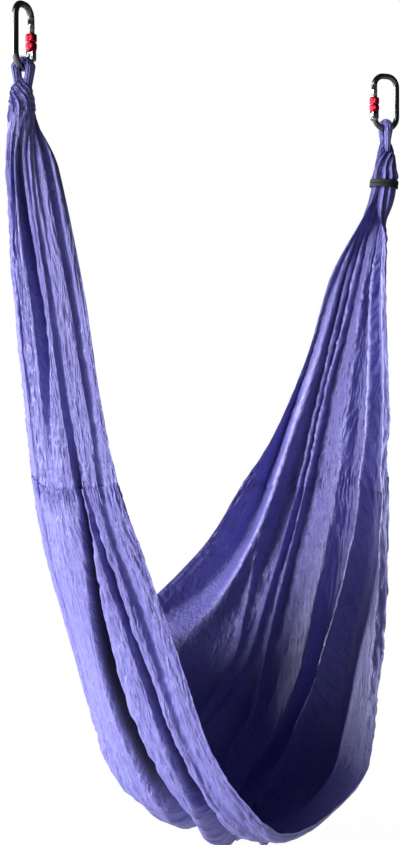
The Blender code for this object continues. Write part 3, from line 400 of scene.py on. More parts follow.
class Recipe:
    """The nodes of one finish, or of the room."""

    def __init__(self, tree):
        self.tree = tree
        tree.nodes.clear()

    def node(self, kind, settings=None, sockets=None, output=0):
        """Add a node: its settings, then its sockets' values or links. Gives one of its outputs."""
        made = self.tree.nodes.new(kind)
        for setting, value in (settings or {}).items():
            setattr(made, setting, value)
        for socket, value in (sockets or {}).items():
            if isinstance(value, Shade):
                self.tree.links.new(value.socket, made.inputs[socket])
            else:
                made.inputs[socket].default_value = value
        return Shade(self, made.outputs[output]) if made.outputs else None

    def pattern(self, place, scale, detail=2.0, roughness=0.5):
        """Noise from 0 to 1, with scale bumps or hollows for each metre along each axis."""
        stretched = self.node("ShaderNodeMapping", None, {"Vector": place, "Scale": scale})
        return self.node("ShaderNodeTexNoise", None, {
            "Vector": stretched, "Scale": 1.0, "Detail": detail, "Roughness": roughness})

    def spread(self, value, low, high, settings=None):
        """A rise from 0 at low to 1 at high."""
        return self.node("ShaderNodeMapRange", settings or {"clamp": True}, {
            "Value": value, "From Min": low, "From Max": high, "To Min": 0.0, "To Max": 1.0})

    def blend(self, share, first, second):
        """A colour between two colours."""
        return self.node("ShaderNodeMix", {"data_type": "RGBA"}, {0: share, 6: first, 7: second}, 2)

    def bump(self, height, depth, strength=1.0):
        """A normal from fine relief of a depth in metres."""
        return self.node("ShaderNodeBump", None, {"Height": height, "Distance": depth, "Strength": strength})


def opaque(colour):
    """A colour with full strength."""
    return (*colour, 1.0)


def lighter(colour, times):
    """The same colour, some times as light."""
    return opaque(min(1.0, times * part) for part in colour)


def violet_nylon(recipe):
    """Thin parachute nylon: crushed into fine creases that run along the sling, with a silky gloss."""
    sizes = bpy.context.scene.hammock_cloth
    place = recipe.node("ShaderNodeUVMap", {"uv_map": "cloth"})
    creases = 1 - abs(recipe.pattern(place, (120.0, 52.0, 1.0), 2.0, 0.6) * 4 - 2)
    waves = recipe.pattern(place, (220.0, 105.0, 1.0), 2.0)
    grain = recipe.pattern(place, (620.0, 310.0, 1.0), 1.0)
    weft = recipe.node("ShaderNodeTexWave", {"bands_direction": "Y"}, {"Vector": place, "Scale": 260.0})
    patches = recipe.pattern(place, (9.0, 4.0, 1.0), 2.0)
    # Painted shade: the deeper the cloth is tucked into the left leg's narrow folds, the nearer its colour
    # goes to a near-black blue, and the flatter its crinkles.
    tucked = recipe.node("ShaderNodeAttribute", {"attribute_name": "tucked"}, None, "Fac")
    height = (creases * 0.50 + waves * 0.45 + grain * 0.03 + weft * 0.01) * (1 - tucked)
    # Painted highlight along the crease crests, mixed with uneven tone in large patches.
    highlight_and_tone = recipe.spread(creases * 0.6 + patches * 0.8, 0.45, 1.15)
    colour = recipe.blend(highlight_and_tone, opaque(sizes.colour), opaque(sizes.highlight_and_tone_colour))
    cloth = recipe.node("ShaderNodeBsdfPrincipled", None, {
        "Base Color": recipe.blend(tucked, colour, opaque(sizes.painted_fold_shade_colour)),
        "Roughness": 0.38 + 0.16 * patches,
        "Normal": recipe.bump(height, 0.0026, 1.0),
        "IOR": 1.5, "Specular IOR Level": 0.75})
    through = recipe.node("ShaderNodeBsdfTranslucent", None, {"Color": opaque(sizes.through_colour)})
    return recipe.node("ShaderNodeMixShader", None, {0: sizes.see_through, 1: cloth, 2: through})


def sewing_thread(recipe):
    """Twisted polyester thread, a little lighter where it is worn."""
    sizes = bpy.context.scene.hammock_cloth
    place = recipe.node("ShaderNodeTexCoord", None, None, "Object")
    twist = recipe.pattern(place, (900.0, 900.0, 900.0), 1.0)
    return recipe.node("ShaderNodeBsdfPrincipled", None, {
        "Base Color": recipe.blend(twist, opaque(sizes.thread_colour), lighter(sizes.thread_colour, 1.5)),
        "Roughness": 0.5 + 0.2 * twist,
        "Normal": recipe.bump(twist, 0.0002, 0.6)})


def black_elastic(recipe):
    """Braided elastic: ribs across the band and a fine braid along it."""
    colour = bpy.context.scene.hammock_cloth.band_colour
    place = recipe.node("ShaderNodeUVMap", {"uv_map": "band"})
    ribs = recipe.node("ShaderNodeTexWave", {"bands_direction": "X"}, {"Vector": place, "Scale": 190.0})
    braid = recipe.node("ShaderNodeTexWave", {"bands_direction": "Y"}, {
        "Vector": place, "Scale": 240.0, "Distortion": 1.5})
    fluff = recipe.pattern(place, (700.0, 700.0, 1.0), 2.0)
    return recipe.node("ShaderNodeBsdfPrincipled", None, {
        "Base Color": recipe.blend(ribs * braid * 0.7 + fluff * 0.3, opaque(colour), lighter(colour, 2.6)),
        "Roughness": 0.7 + 0.2 * fluff,
        "Normal": recipe.bump(ribs * 0.6 + braid * 0.4, 0.0004, 0.7)})


def metal(recipe, colour_name, roughness, worn=1.6):
    """Polished metal with long fine scratches, cloudy handling marks and small specks of wear."""
    colour = getattr(bpy.context.scene.hammock_steel, colour_name)
    place = recipe.node("ShaderNodeTexCoord", None, None, "Object")
    clouds = recipe.pattern(place, (90.0, 90.0, 60.0), 3.0)
    scratches = recipe.pattern(place, (2600.0, 2600.0, 140.0), 2.0)
    specks = recipe.spread(recipe.pattern(place, (420.0, 420.0, 420.0), 2.0), 0.62, 0.72)
    return recipe.node("ShaderNodeBsdfPrincipled", None, {
        "Base Color": recipe.blend(specks * 0.5 + clouds * 0.35, opaque(colour), lighter(colour, worn)),
        "Roughness": roughness * 0.7 + clouds * roughness * 0.6,
        "Normal": recipe.bump(scratches, SCRATCH_DEPTH, 0.6),
        "Metallic": 1.0})


def seen_straight(recipe):
    """1 where the camera looks, less in the gloss of the pieces, and 0 for the light that falls on them."""
    camera = recipe.node("ShaderNodeLightPath", None, None, "Is Camera Ray")
    mirror = recipe.node("ShaderNodeLightPath", None, None, "Is Glossy Ray")
    clear = recipe.node("ShaderNodeLightPath", None, None, "Is Transmission Ray")
    return recipe.node("ShaderNodeMath", {"operation": "ADD", "use_clamp": True}, {
        0: camera, 1: (mirror + clear) * MIRRORED_ROOM})


def white_floor(recipe):
    """White floor: seen straight on it fades into the white room, and it keeps the soft shadow."""
    place = recipe.node("ShaderNodeTexCoord", None, None, "Object")
    level = recipe.node("ShaderNodeVectorMath", {"operation": "MULTIPLY"}, {0: place, 1: (1.0, 1.0, 0.0)})
    radius = recipe.node("ShaderNodeVectorMath", {"operation": "LENGTH"}, {0: level}, "Value")
    far = recipe.spread(radius, 0.4 * FLOOR_FADE, FLOOR_FADE, {"interpolation_type": "SMOOTHSTEP"})
    grain = recipe.pattern(place, (60.0, 60.0, 60.0), 2.0)
    seen = seen_straight(recipe)
    paint = recipe.node("ShaderNodeBsdfPrincipled", None, {
        "Base Color": recipe.blend(grain, (0.86, 0.86, 0.86, 1.0), (0.9, 0.9, 0.9, 1.0)),
        "Roughness": 0.8 + 0.1 * grain})
    white = recipe.node("ShaderNodeEmission", None, {"Color": WHITE, "Strength": 1.0})
    return recipe.node("ShaderNodeMixShader", None, {0: seen * (0.97 + 0.03 * far), 1: paint, 2: white})


SURFACES = {
    "violet_nylon": violet_nylon,
    "seam_thread": sewing_thread,
    "black_elastic": black_elastic,
    "polished_steel": lambda recipe: metal(recipe, "bow_colour", 0.24, 2.2),
    "bright_steel": lambda recipe: metal(recipe, "bright_colour", 0.26),
    "spring_steel": lambda recipe: metal(recipe, "bright_colour", 0.32),
    "red_anodised": lambda recipe: metal(recipe, "sleeve_colour", 0.34, 1.5),
    "white_floor": white_floor,
}


def finish(name):
    """A finish by its name, made when it is first asked for. Plain ones in the frame have the bare name."""
    if name + FINISH_ENDING in bpy.data.materials:
        return bpy.data.materials[name + FINISH_ENDING]
    material = bpy.data.materials.new(name + FINISH_ENDING)
    material.use_nodes = True
    recipe = Recipe(material.node_tree)
    recipe.node("ShaderNodeOutputMaterial", None, {"Surface": SURFACES[name](recipe)})
    return material


# Making and placing pieces

def mesh_from(name, bm):
    """A mesh of what a bmesh holds."""
    mesh = bpy.data.meshes.new(name)
    bm.to_mesh(mesh)
    bm.free()
    return mesh


def linked(name, data):
    """A new object in the scene."""
    made = bpy.data.objects.new(name, data)
    bpy.context.scene.collection.objects.link(made)
    return made


def piece_from(name, bm, finish_name, body, nodes=(), sharp_angle=None):
    """Make a finished piece that rides on a body and stands for some CAD nodes."""
    mesh = mesh_from(name, bm)
    mesh.shade_smooth()
    if sharp_angle is not None:
        mesh.set_sharp_from_angle(angle=sharp_angle)
    mesh.materials.append(finish(finish_name))
    piece = linked(name, mesh)
    if nodes:
        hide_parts(*nodes)
    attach(piece, body)
    return piece


def turned(profile, centre, steps, rise=0.0, turns=1.0):
    """Turn a chain of (radius, height) points round a vertical line: a bmesh in the frame's metres."""
    bm = bmesh.new()
    chain = [bm.verts.new((radius, 0.0, height)) for radius, height in profile]
    edges = [bm.edges.new(pair) for pair in zip(chain, chain[1:])]
    bmesh.ops.spin(bm, geom=chain + edges, cent=(0.0, 0.0, 0.0), axis=(0.0, 0.0, 1.0),
                   dvec=(0.0, 0.0, rise / steps), angle=2 * math.pi * turns, steps=steps,
                   use_merge=rise == 0.0, use_duplicate=False)
    bmesh.ops.remove_doubles(bm, verts=bm.verts, dist=1e-7)
    bmesh.ops.recalc_face_normals(bm, faces=bm.faces)
    bmesh.ops.translate(bm, verts=bm.verts, vec=centre)
    return bm


# The sling's surface

def route(*rows):
    """Stations of one line of the sling in metres, from the left neck over the seat to the right neck."""
    left, seat, right = (np.array(part) / 1000 for part in rows)
    seat[:, 0] = ANCHOR_SPACING / 2 + seat[:, 0]
    right[:, 0] = ANCHOR_SPACING - right[:, 0]
    return np.concatenate([left, seat, right[::-1]]) + (0.0, 0.0, BOW_Z)


FAR_EDGE = route(LEFT_FAR_EDGE, SEAT_FAR_EDGE, RIGHT_FAR_EDGE)
MIDDLE = route(LEFT_MIDDLE, SEAT_MIDDLE, RIGHT_MIDDLE)
NEAR_EDGE = route(LEFT_NEAR_EDGE, SEAT_NEAR_EDGE, RIGHT_NEAR_EDGE)


def along_route(line, station):
    """Smooth curve through a route's stations."""
    whole = np.clip(np.floor(station), 0, len(line) - 2).astype(int)
    part = (station - whole)[..., None]
    before, here, after, beyond = (line[np.clip(whole + k, 0, len(line) - 1)] for k in (-1, 0, 1, 2))
    return 0.5 * (2 * here + (after - before) * part
                  + (2 * before - 5 * here + 4 * after - beyond) * part ** 2
                  + (3 * here - before - 3 * after + beyond) * part ** 3)


def open_section(across, station):
    """The cloth without its folds: a curve across from the far edge, round the outside, to the near edge."""
    across = across[..., None]
    return (along_route(FAR_EDGE, station) * (1 - across) * (1 - 2 * across)
            + along_route(MIDDLE, station) * 4 * across * (1 - across)
            + along_route(NEAR_EDGE, station) * across * (2 * across - 1))


def unit(vectors):
    """Vectors of the same directions and a length of 1."""
    return vectors / np.maximum(np.linalg.norm(vectors, axis=-1, keepdims=True), 1e-12)


def lengths_along(points):
    """How far each point of a chain is from its first one, along the chain."""
    return np.concatenate(([0.0], np.cumsum(np.linalg.norm(np.diff(points, axis=0), axis=-1))))


def directions(surface, across, station):
    """Unit directions square to a surface, into the sling, and along it towards the near edge."""
    step = 0.001
    side = surface(across + step, station) - surface(across - step, station)
    down = surface(across, station + 20 * step) - surface(across, station - 20 * step)
    return unit(np.cross(side, down)), unit(side)


def eased(station, rows, column):
    """A fold's height in metres, or its place or width as a share, with soft turns at its rows."""
    stations = np.array([row[0] for row in rows])
    values = np.array([row[column] for row in rows]) / 1000
    place = np.clip(np.searchsorted(stations, station, side="right") - 1, 0, len(rows) - 2)
    share = np.clip((station - stations[place]) / (stations[place + 1] - stations[place]), 0.0, 1.0)
    slope = np.gradient(values, stations)
    span = stations[place + 1] - stations[place]
    cube, square = share ** 3, share ** 2
    return ((2 * cube - 3 * square + 1) * values[place] + (cube - 2 * square + share) * span * slope[place]
            + (3 * square - 2 * cube) * values[place + 1] + (cube - square) * span * slope[place + 1])


def fold_rise(rows, across, station):
    """How far one fold stands into the sling."""
    centre, height, far_width, near_width = (eased(station, rows, column) for column in range(1, 5))
    first, last = rows[0][0], rows[-1][0]
    fade = smooth_step(station, first - FOLD_FADE, first) * (
        1 - smooth_step(station, last, last + FOLD_FADE))
    width = np.where(across < centre, far_width, near_width)
    return height * fade * np.exp(-FOLD_FALL * np.abs((across - centre) / width) ** FOLD_ROUNDNESS)


def folded_section(across, station):
    """The cloth with its folds standing into the sling."""
    rise = sum(fold_rise(rows, across, station) for rows in FOLDS)
    inward, _ = directions(open_section, across, station)
    return open_section(across, station) + inward * rise[..., None]


def tucked(across, station):
    """How deep the cloth is tucked into the left leg's two narrow folds, from 0 to 1; also their painted
    shade.
    """
    black = smooth_step(fold_rise(BLACK_SLOT_AND_BAND, across, station), 0.004, 0.018)
    near = smooth_step(fold_rise(NEAR_SLOT_AND_CREST, across, station), 0.006, 0.022)
    left = smooth_step(station, 4.0, 5.4) * (1 - smooth_step(station, 8.2, 9.2))
    return left * np.maximum(black, 0.8 * near)


def smooth_step(value, low, high):
    """A soft rise from 0 at low to 1 at high."""
    share = np.clip((value - low) / (high - low), 0.0, 1.0)
    return share * share * (3 - 2 * share)


def soft_noise(x, y, seed):
    """Smooth noise from -1 to 1, with about one bump or hollow for each unit of x and of y."""
    table = np.random.default_rng(seed).uniform(-1.0, 1.0, (257, 257))
    column, row = np.floor(x).astype(int), np.floor(y).astype(int)
    right, up = x - column, y - row
    right, up = right * right * (3 - 2 * right), up * up * (3 - 2 * up)
    corner = [table[(row + i) % 257, (column + j) % 257] for i in (0, 1) for j in (0, 1)]
    below = corner[0] * (1 - right) + corner[1] * right
    above = corner[2] * (1 - right) + corner[3] * right
    return below * (1 - up) + above * up


def neck_section(from_neck, right):
    """Centre, sideways and inward directions and half sizes of the gathered neck at some stations."""
    station = LAST_STATION - from_neck if right else from_neck
    far, middle, near = (along_route(line, station) for line in (FAR_EDGE, MIDDLE, NEAR_EDGE))
    centre = (far + near + 2 * middle) / 4
    sideways = near - far
    sideways[..., 2] = 0.0
    sideways = unit(sideways)
    inwards = np.cross(sideways, (0.0, 0.0, 1.0 if right else -1.0))
    places, half_widths, half_depths = zip(*(RIGHT_NECK if right else LEFT_NECK))
    return (centre, sideways, inwards, np.interp(from_neck, places, half_widths),
            np.interp(from_neck, places, half_depths))


def crinkles(across, station, height):
    """How far the crushed cloth stands in or out: long creases that run along the sling."""
    x = across * FACE_CUT
    y = station * STATION_LENGTH
    bend = CREASE_BEND * soft_noise(x * 11, y * 7, 1) + CREASE_WAVER * soft_noise(x * 31, y * 19, 6)

    def crushed(kind, bends, seed):
        wide, long, _ = kind
        return soft_noise((x + bends * bend) * wide, y * long, seed)

    waves = crushed(CRUSHED_WAVES, 1, 3)
    creases = 1 - 2.0 * np.abs(crushed(CRUSHED_CREASES, 1, 2))
    fine = 1 - 2.0 * np.abs(crushed(FINE_CREASES, 2, 4))
    patch = 0.35 + 0.65 * smooth_step(soft_noise(x * 11, y * 4, 5), -0.6, 0.5)
    return height * patch * (
        CRUSHED_WAVES[2] * waves + CRUSHED_CREASES[2] * creases + FINE_CREASES[2] * fine)


def pleat_phase(across, station):
    """Where the cloth is in the pleats of its neck, as an angle."""
    return 2 * math.pi * NECK_PLEATS * (across + 0.012 * soft_noise(across * 9, station * 0.5, 7))


def gathers(across, station):
    """How far the pleats below a neck stand in or out."""
    nearest = np.minimum(station, LAST_STATION - station)
    size = 0.7 + 0.3 * soft_noise(across * 14, station * 0.8, 8)
    return PLEAT_HEIGHT * (1 - smooth_step(nearest, 1.0, 3.6)) * size * np.sin(pleat_phase(across, station))


def seam_puckers(across, station):
    """Short waves across a lap, where its stitches draw the cloth together."""
    from_seam = np.abs(np.minimum(station, LAST_STATION - station) - SEAM_STATION - LAP_STATIONS / 2)
    x = across * FACE_CUT
    waves = np.sin(2 * math.pi * (x / PUCKER_LENGTH + 0.8 * soft_noise(x * 40, station, 11)))
    return waves * (0.6 + 0.4 * soft_noise(x * 25, station, 12)) * np.exp(-(from_seam / PUCKER_REACH) ** 2)


def hem_rise(across, station, hem_width):
    """How far the folded hems stand into the sling, drawn into small waves by their stitches."""
    share = hem_width / FACE_CUT
    from_edge = np.minimum(across, 1 - across) / share
    fold = 1 - smooth_step(from_edge, 0.85, 1.1)
    waver = 0.7 * soft_noise(across * 5, station * 9, 13)
    waves = np.sin(2 * math.pi * (station * STATION_LENGTH / HEM_WAVE_LENGTH + waver))
    return fold * HEM_RISE + HEM_WAVE_HEIGHT * waves * np.exp(-((from_edge - 0.6) / 0.7) ** 2)


def cloth_points(across, station, sizes):
    """Points of the hung cloth's outer face."""
    inward, _ = directions(folded_section, across, station)
    nearest = np.minimum(station, LAST_STATION - station)
    loose = 0.35 + 0.65 * smooth_step(nearest, 0.5, 2.5)
    loose = loose * (1 - TUCKED_CALM * tucked(across, station))
    rise = (gathers(across, station) + crinkles(across, station, sizes.crinkle) * loose
            + sizes.pucker * seam_puckers(across, station) + hem_rise(across, station, sizes.hem_width))
    return folded_section(across, station) + inward * rise[..., None]


def pressed_into_neck(points, across, station, right):
    """Close the cloth above the leg round into a pleated strand that is wrung below the bow."""
    from_neck = LAST_STATION - station if right else station
    centre, sideways, inwards, half_width, half_depth = neck_section(from_neck, right)
    pressed = 1 - smooth_step(from_neck, PRESSED_TO[right], PRESSED_TO[right] + PRESSED_FADE)
    angle = NECK_ROUND * (2 * across - 1)
    phase = pleat_phase(across, station)
    pleat = (0.5 - 0.5 * np.sin(phase)) ** 1.4 * (0.8 + 0.4 * soft_noise(across * 23, station * 1.5, 9))
    crumple = soft_noise(across * 31, station * 9, 14) + 0.8 * soft_noise(across * 60, station * 22, 15)
    crushed = 1 - NECK_GROOVE * pleat + NECK_CRUMPLE[right] * crumple * (
        1 - smooth_step(from_neck, 0.5, 1.1))
    tip = NECK_TIP + (1 - NECK_TIP) * smooth_step(from_neck, NECK_TOP, 0.20)
    wide = half_width * tip * crushed * np.sin(angle + 0.10 * np.cos(phase))
    deep = -half_depth * tip * crushed * np.cos(angle + 0.10 * np.cos(phase))
    twist = (1 - smooth_step(from_neck, NECK_TOP, 0.66)) * NECK_WRUNG[right]
    turned_wide = wide * np.cos(twist) - deep * np.sin(twist)
    turned_deep = wide * np.sin(twist) + deep * np.cos(twist)
    neck = centre + sideways * turned_wide[..., None] + inwards * turned_deep[..., None]
    return points * (1 - pressed[..., None]) + neck * pressed[..., None]


def hem_gap(across, station):
    """How far the seat panel hangs back below the free hem of the right lap, beside the near edge."""
    from_seam = LAST_STATION - SEAM_STATION - station
    place = np.exp(-np.abs((across - HEM_GAP_PLACE) / HEM_GAP_WIDTH) ** 3)
    return HEM_GAP * place * smooth_step(from_seam, 0.0, 0.16) * (1 - smooth_step(from_seam, 0.25, 0.95))


def panel_points(panel, across, station, sizes):
    """Points of one of the three panels."""
    points = cloth_points(across, station, sizes)
    inward, _ = directions(folded_section, across, station)
    if panel == "seat_panel":
        return points - inward * hem_gap(across, station)[..., None]
    return pressed_into_neck(points + inward * LAP_LIFT, across, station, panel == "right_end_panel")


# Cloth pieces

# First station, last station and rows of points of each panel
PANELS = {
    "left_end_panel": (SEAM_STATION + LAP_STATIONS, NECK_TOP, 240),
    "seat_panel": (LAST_STATION - SEAM_STATION, SEAM_STATION, 262),
    "right_end_panel": (LAST_STATION - NECK_TOP, LAST_STATION - SEAM_STATION - LAP_STATIONS, 240),
}


def grid(points, uv_name, uv, tuck=None):
    """A grid of points as a bmesh, with a UV map in metres and, if given, how deep each point is tucked for
    painted shade.
    """
    rows, columns = points.shape[:2]
    bm = bmesh.new()
    bm.loops.layers.uv.new(uv_name)
    bmesh.ops.create_grid(bm, x_segments=columns - 1, y_segments=rows - 1, size=0.5, calc_uvs=False)
    mesh = mesh_from("grid", bm)
    flat = np.empty(3 * len(mesh.vertices))
    mesh.vertices.foreach_get("co", flat)
    flat = flat.reshape(-1, 3)
    column = np.rint((flat[:, 0] + 0.5) * (columns - 1)).astype(int)
    row = np.rint((flat[:, 1] + 0.5) * (rows - 1)).astype(int)
    mesh.vertices.foreach_set("co", points[row, column].ravel())
    corner = np.empty(len(mesh.loops), int)
    mesh.loops.foreach_get("vertex_index", corner)
    mesh.uv_layers[uv_name].data.foreach_set("uv", uv[row[corner], column[corner]].ravel())
    if tuck is not None:
        mesh.attributes.new("tucked", "FLOAT", "POINT").data.foreach_set("value", tuck[row, column].ravel())
    bm = bmesh.new()
    bm.from_mesh(mesh)
    bpy.data.meshes.remove(mesh)
    return bm


def tube_piece(name, bm, finish_name, body, nodes=()):
    """A closed tube from a grid whose last column meets its first, with both ends filled."""
    bmesh.ops.remove_doubles(bm, verts=bm.verts, dist=1e-7)
    bmesh.ops.holes_fill(bm, edges=[edge for edge in bm.edges if edge.is_boundary], sides=0)
    bmesh.ops.recalc_face_normals(bm, faces=bm.faces)
    return piece_from(name, bm, finish_name, body, nodes)


def columns_across(hem_width, count=381):
    """Places across the cloth, close together over the hems."""
    hem = 1.3 * hem_width / FACE_CUT
    edge = np.linspace(0.0, hem, 9)
    return np.concatenate([edge, np.linspace(hem, 1 - hem, count - 16)[1:-1], (1 - edge)[::-1]])


def make_panel(name, sizes):
    """One panel of the sling, from its far edge to its near edge."""
    first, last, rows = PANELS[name]
    across, station = np.meshgrid(columns_across(sizes.hem_width), np.linspace(first, last, rows))
    points = panel_points(name, across, station, sizes)
    uv = np.stack([across * FACE_CUT, station * STATION_LENGTH], axis=-1)
    cloth = grid(points, "cloth", uv, tucked(across, station))
    return piece_from(name + "_cloth", cloth, "violet_nylon", "sling", [name])


def bow_frame(side):
    """The bottom bow's centre and the level directions along it and square to it."""
    square = Vector(JOINTS[side + "_gate_hinge"]["axis"]).normalized()
    along = square.cross(Vector((0.0, 0.0, 1.0))).normalized()
    centre = HANG_POINTS[side] + Vector((0.0, 0.0, BOW_Z))
    return np.array(centre), np.array(along), np.array(square)


def make_loop(side, sizes, around=120, along=150):
    """The end of a panel, wrung into a strand that goes up one side of the bow and down the other."""
    right = side == "right"
    centre, wide_way, over_way = bow_frame(side)
    up = np.array((0.0, 0.0, 1.0))
    reach = BAR_RADIUS + LOOP_CLEARANCE + LOOP_THICKNESS / 2
    path = [(-LOOP_WAIST, -LOOP_TAIL), (-(LOOP_WAIST + reach) / 2, -LOOP_TAIL / 2)]
    path += [(-reach * math.cos(math.radians(a)), reach * math.sin(math.radians(a)))
             for a in range(0, 181, 20)]
    path += [((LOOP_WAIST + reach) / 2, -LOOP_TAIL / 2), (LOOP_WAIST, -LOOP_TAIL)]
    line = np.array([over_way * out + up * height for out, height in path]) + centre
    place = np.linspace(0.0, len(line) - 1.0, along)
    turn = np.linspace(0.0, 2 * math.pi, around)
    middle = along_route(line, place)
    tangent = unit(along_route(line, place + 0.02) - along_route(line, place - 0.02))
    thin_way = np.cross(tangent, wide_way)
    turn, share = np.meshgrid(turn, place / (len(line) - 1))
    twist = LOOP_TWIST[right] * share
    pleats = (0.10 * np.sin(9 * turn + 9 * twist) + 0.05 * np.sin(16 * turn + 13 * twist + 1.0)
              + 0.05 * soft_noise(7 + 3 * np.cos(turn) + 9 * share, 7 + 3 * np.sin(turn) + 21 * share, 21))
    size = 0.90 + pleats
    strand = LOOP_NARROWED[right] * (1 - 0.14 * np.sin(math.pi * share) ** 2) * (0.55 + 0.45 * smooth_step(
        np.minimum(share, 1 - share), 0.0, 0.22))
    wide = LOOP_WIDTH / 2 * strand * np.cos(turn) * size
    thin = LOOP_THICKNESS / 2 * np.sin(turn) * size
    points = middle[:, None] + wide_way * wide[..., None] + thin_way[:, None] * thin[..., None]
    uv = np.stack([turn * 0.02, share * 0.13], axis=-1)
    return tube_piece(side + "_loop", grid(points, "cloth", uv), "violet_nylon", "sling")


# Stitches

def stitch_row(bm, panel, across, station, sizes, lift):
    """Lay stitches on a panel along a chain of places, raised off its outer face by lift."""
    step = 1e-3
    points, nearer, farther, onward, back = (
        panel_points(panel, across + aside, station + along, sizes)
        for aside, along in ((0, 0), (step, 0), (-step, 0), (0, 10 * step), (0, -10 * step)))
    inward = unit(np.cross(nearer - farther, onward - back))
    lengths = lengths_along(points)
    count = int(lengths[-1] / (STITCH_SPACING * sizes.stitch_length))
    middles = (np.arange(count) + 0.5) * lengths[-1] / count
    ends = [np.stack([np.interp(middles + way * sizes.stitch_length / 2, lengths, points[:, axis])
                      for axis in range(3)], axis=-1) for way in (-1, 1)]
    normals = unit(np.stack([np.interp(middles, lengths, inward[:, axis]) for axis in range(3)], axis=-1))
    for start, end, normal in zip(*ends, normals):
        along = Vector(end - start)
        place = Matrix.Translation(Vector((start + end) / 2 + normal * lift))
        size = Matrix.Diagonal((along.length / 2, sizes.thread_width / 2, sizes.thread_width / 2, 1.0))
        lay = along.to_track_quat("X", "Z").to_matrix().to_4x4()
        bmesh.ops.create_icosphere(bm, subdivisions=1, radius=1.0, matrix=place @ lay @ size)


def make_hem_stitches(panel, sizes):
    """The stitches that hold both folded hems of a panel, on both faces."""
    first, last, rows = PANELS[panel]
    station = np.linspace(first, last, 3 * rows)
    inset = STITCH_INSET * sizes.hem_width / FACE_CUT
    bm = bmesh.new()
    for across in (inset, 1 - inset):
        for lift in (-sizes.thread_width * 0.2, sizes.thread_width * 0.4):
            stitch_row(bm, panel, np.full(station.shape, across), station, sizes, lift)
    return piece_from(panel + "_hem_stitches", bm, "seam_thread", "sling")


def make_seam_stitches(side, sizes):
    """Two rows of stitches through a lap: on the seat panel's outer face and the end panel's inner face."""
    across = np.linspace(0.006, 0.994, 900)
    bm = bmesh.new()
    for share in SEAM_ROWS:
        from_neck = SEAM_STATION + share * LAP_STATIONS
        station = np.full(across.shape, LAST_STATION - from_neck if side == "right" else from_neck)
        stitch_row(bm, "seat_panel", across, station, sizes, -sizes.thread_width * 0.2)
        stitch_row(bm, side + "_end_panel", across, station, sizes, sizes.thread_width * 0.3)
    return piece_from(side + "_seam_stitches", bm, "seam_thread", "sling", [side + "_seam_thread"])


# Neck band

def make_neck_band(sizes, along=260, around=29):
    """One length of elastic wound twice round the right neck, with its ends tucked under."""
    low, high = (np.array(corner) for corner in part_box("neck_band"))
    axis = unit(np.array(JOINTS["neck_band_slide"]["axis"]))
    _, sideways, _, half_width, half_depth = neck_section(np.array([BAND_STATION]), True)
    middle = (low + high) / 2
    turn = np.linspace(BAND_START, BAND_END, along)
    share = (turn - turn[0]) / (turn[-1] - turn[0])
    end_tuck = BAND_END_TUCK * (np.exp(-share / 0.012) + np.exp(-(1 - share) / 0.012))
    across = sideways[0] - axis * float(sideways[0] @ axis)
    across = across / np.linalg.norm(across)
    inward = np.cross(axis, across)
    out = across * np.cos(turn)[:, None] + inward * np.sin(turn)[:, None]
    reach_wide = half_width[0] + BAND_CLEARANCE + BAND_THICKNESS / 2 - end_tuck
    reach_deep = half_depth[0] + BAND_CLEARANCE + BAND_THICKNESS / 2 - end_tuck
    # The two wraps lie level for most of the way round, and step from one to the other in one place.
    rise = BAND_PITCH * (smooth_step(share, *BAND_STEP) - 0.5)
    path = (middle + across * (reach_wide * np.cos(turn))[:, None]
            + inward * (reach_deep * np.sin(turn))[:, None] + axis * rise[:, None])
    lean = np.linspace(0.0, 2 * math.pi, around)
    wide = np.sign(np.cos(lean)) * np.abs(np.cos(lean)) ** 0.45
    thick = np.sign(np.sin(lean)) * np.abs(np.sin(lean)) ** 0.6 * (1 + 0.05 * np.cos(2 * lean))
    points = (path[:, None] + axis * (wide * BAND_TAPE / 2)[None, :, None]
              + out[:, None] * (thick * BAND_THICKNESS / 2)[None, :, None])
    uv = np.stack(np.broadcast_arrays(lengths_along(path)[:, None], (lean * 0.003)[None, :]), axis=-1)
    wraps = grid(points, "band", uv)
    return tube_piece("neck_band_wraps", wraps, "black_elastic", "neck_band", ["neck_band"])


# Carabiners

def smooth_copy(node, name, finish_name, body):
    """A CAD node's own shape with its loose triangles joined, shaded smooth between its edges."""
    bm = bmesh.new()
    bm.from_mesh(frame["nodes"][node].data)
    bmesh.ops.remove_doubles(bm, verts=bm.verts, dist=JOIN_REACH)
    return piece_from(name, bm, finish_name, body, [node], math.radians(32))


def sleeve_profile(length):
    """Closed half section of the lock sleeve: two crowned grips, a groove between them and a low skirt."""
    middle = length / 2
    grip = SLEEVE_RADIUS
    skirt = [(BORE_RADIUS, 0.0006), (BORE_RADIUS + 0.0006, 0.0), (grip - 0.0018, 0.0),
             (grip - 0.0009, 0.0004), (grip - 0.0005, 0.0013), (grip - 0.0010, 0.0019),
             (grip - 0.0010, 0.0025), (grip - 0.0003, 0.0030), (grip, 0.0038)]
    lower = [(grip, 0.0038 + share * (middle - 0.0061)) for share in (0.33, 0.66, 1.0)]
    groove = [(grip - 0.0005, middle - 0.0016), (grip - 0.0014, middle - 0.0008),
              (grip - 0.0014, middle + 0.0008), (grip - 0.0005, middle + 0.0016)]
    upper = [(grip, middle + 0.0023 + share * (middle - 0.0047)) for share in (0.0, 0.33, 0.66, 1.0)]
    top = [(grip - 0.0006, length - 0.0010), (grip - 0.0018, length), (BORE_RADIUS + 0.0006, length),
           (BORE_RADIUS, length - 0.0006), (BORE_RADIUS, 0.0006)]
    return skirt + lower + groove + upper + top


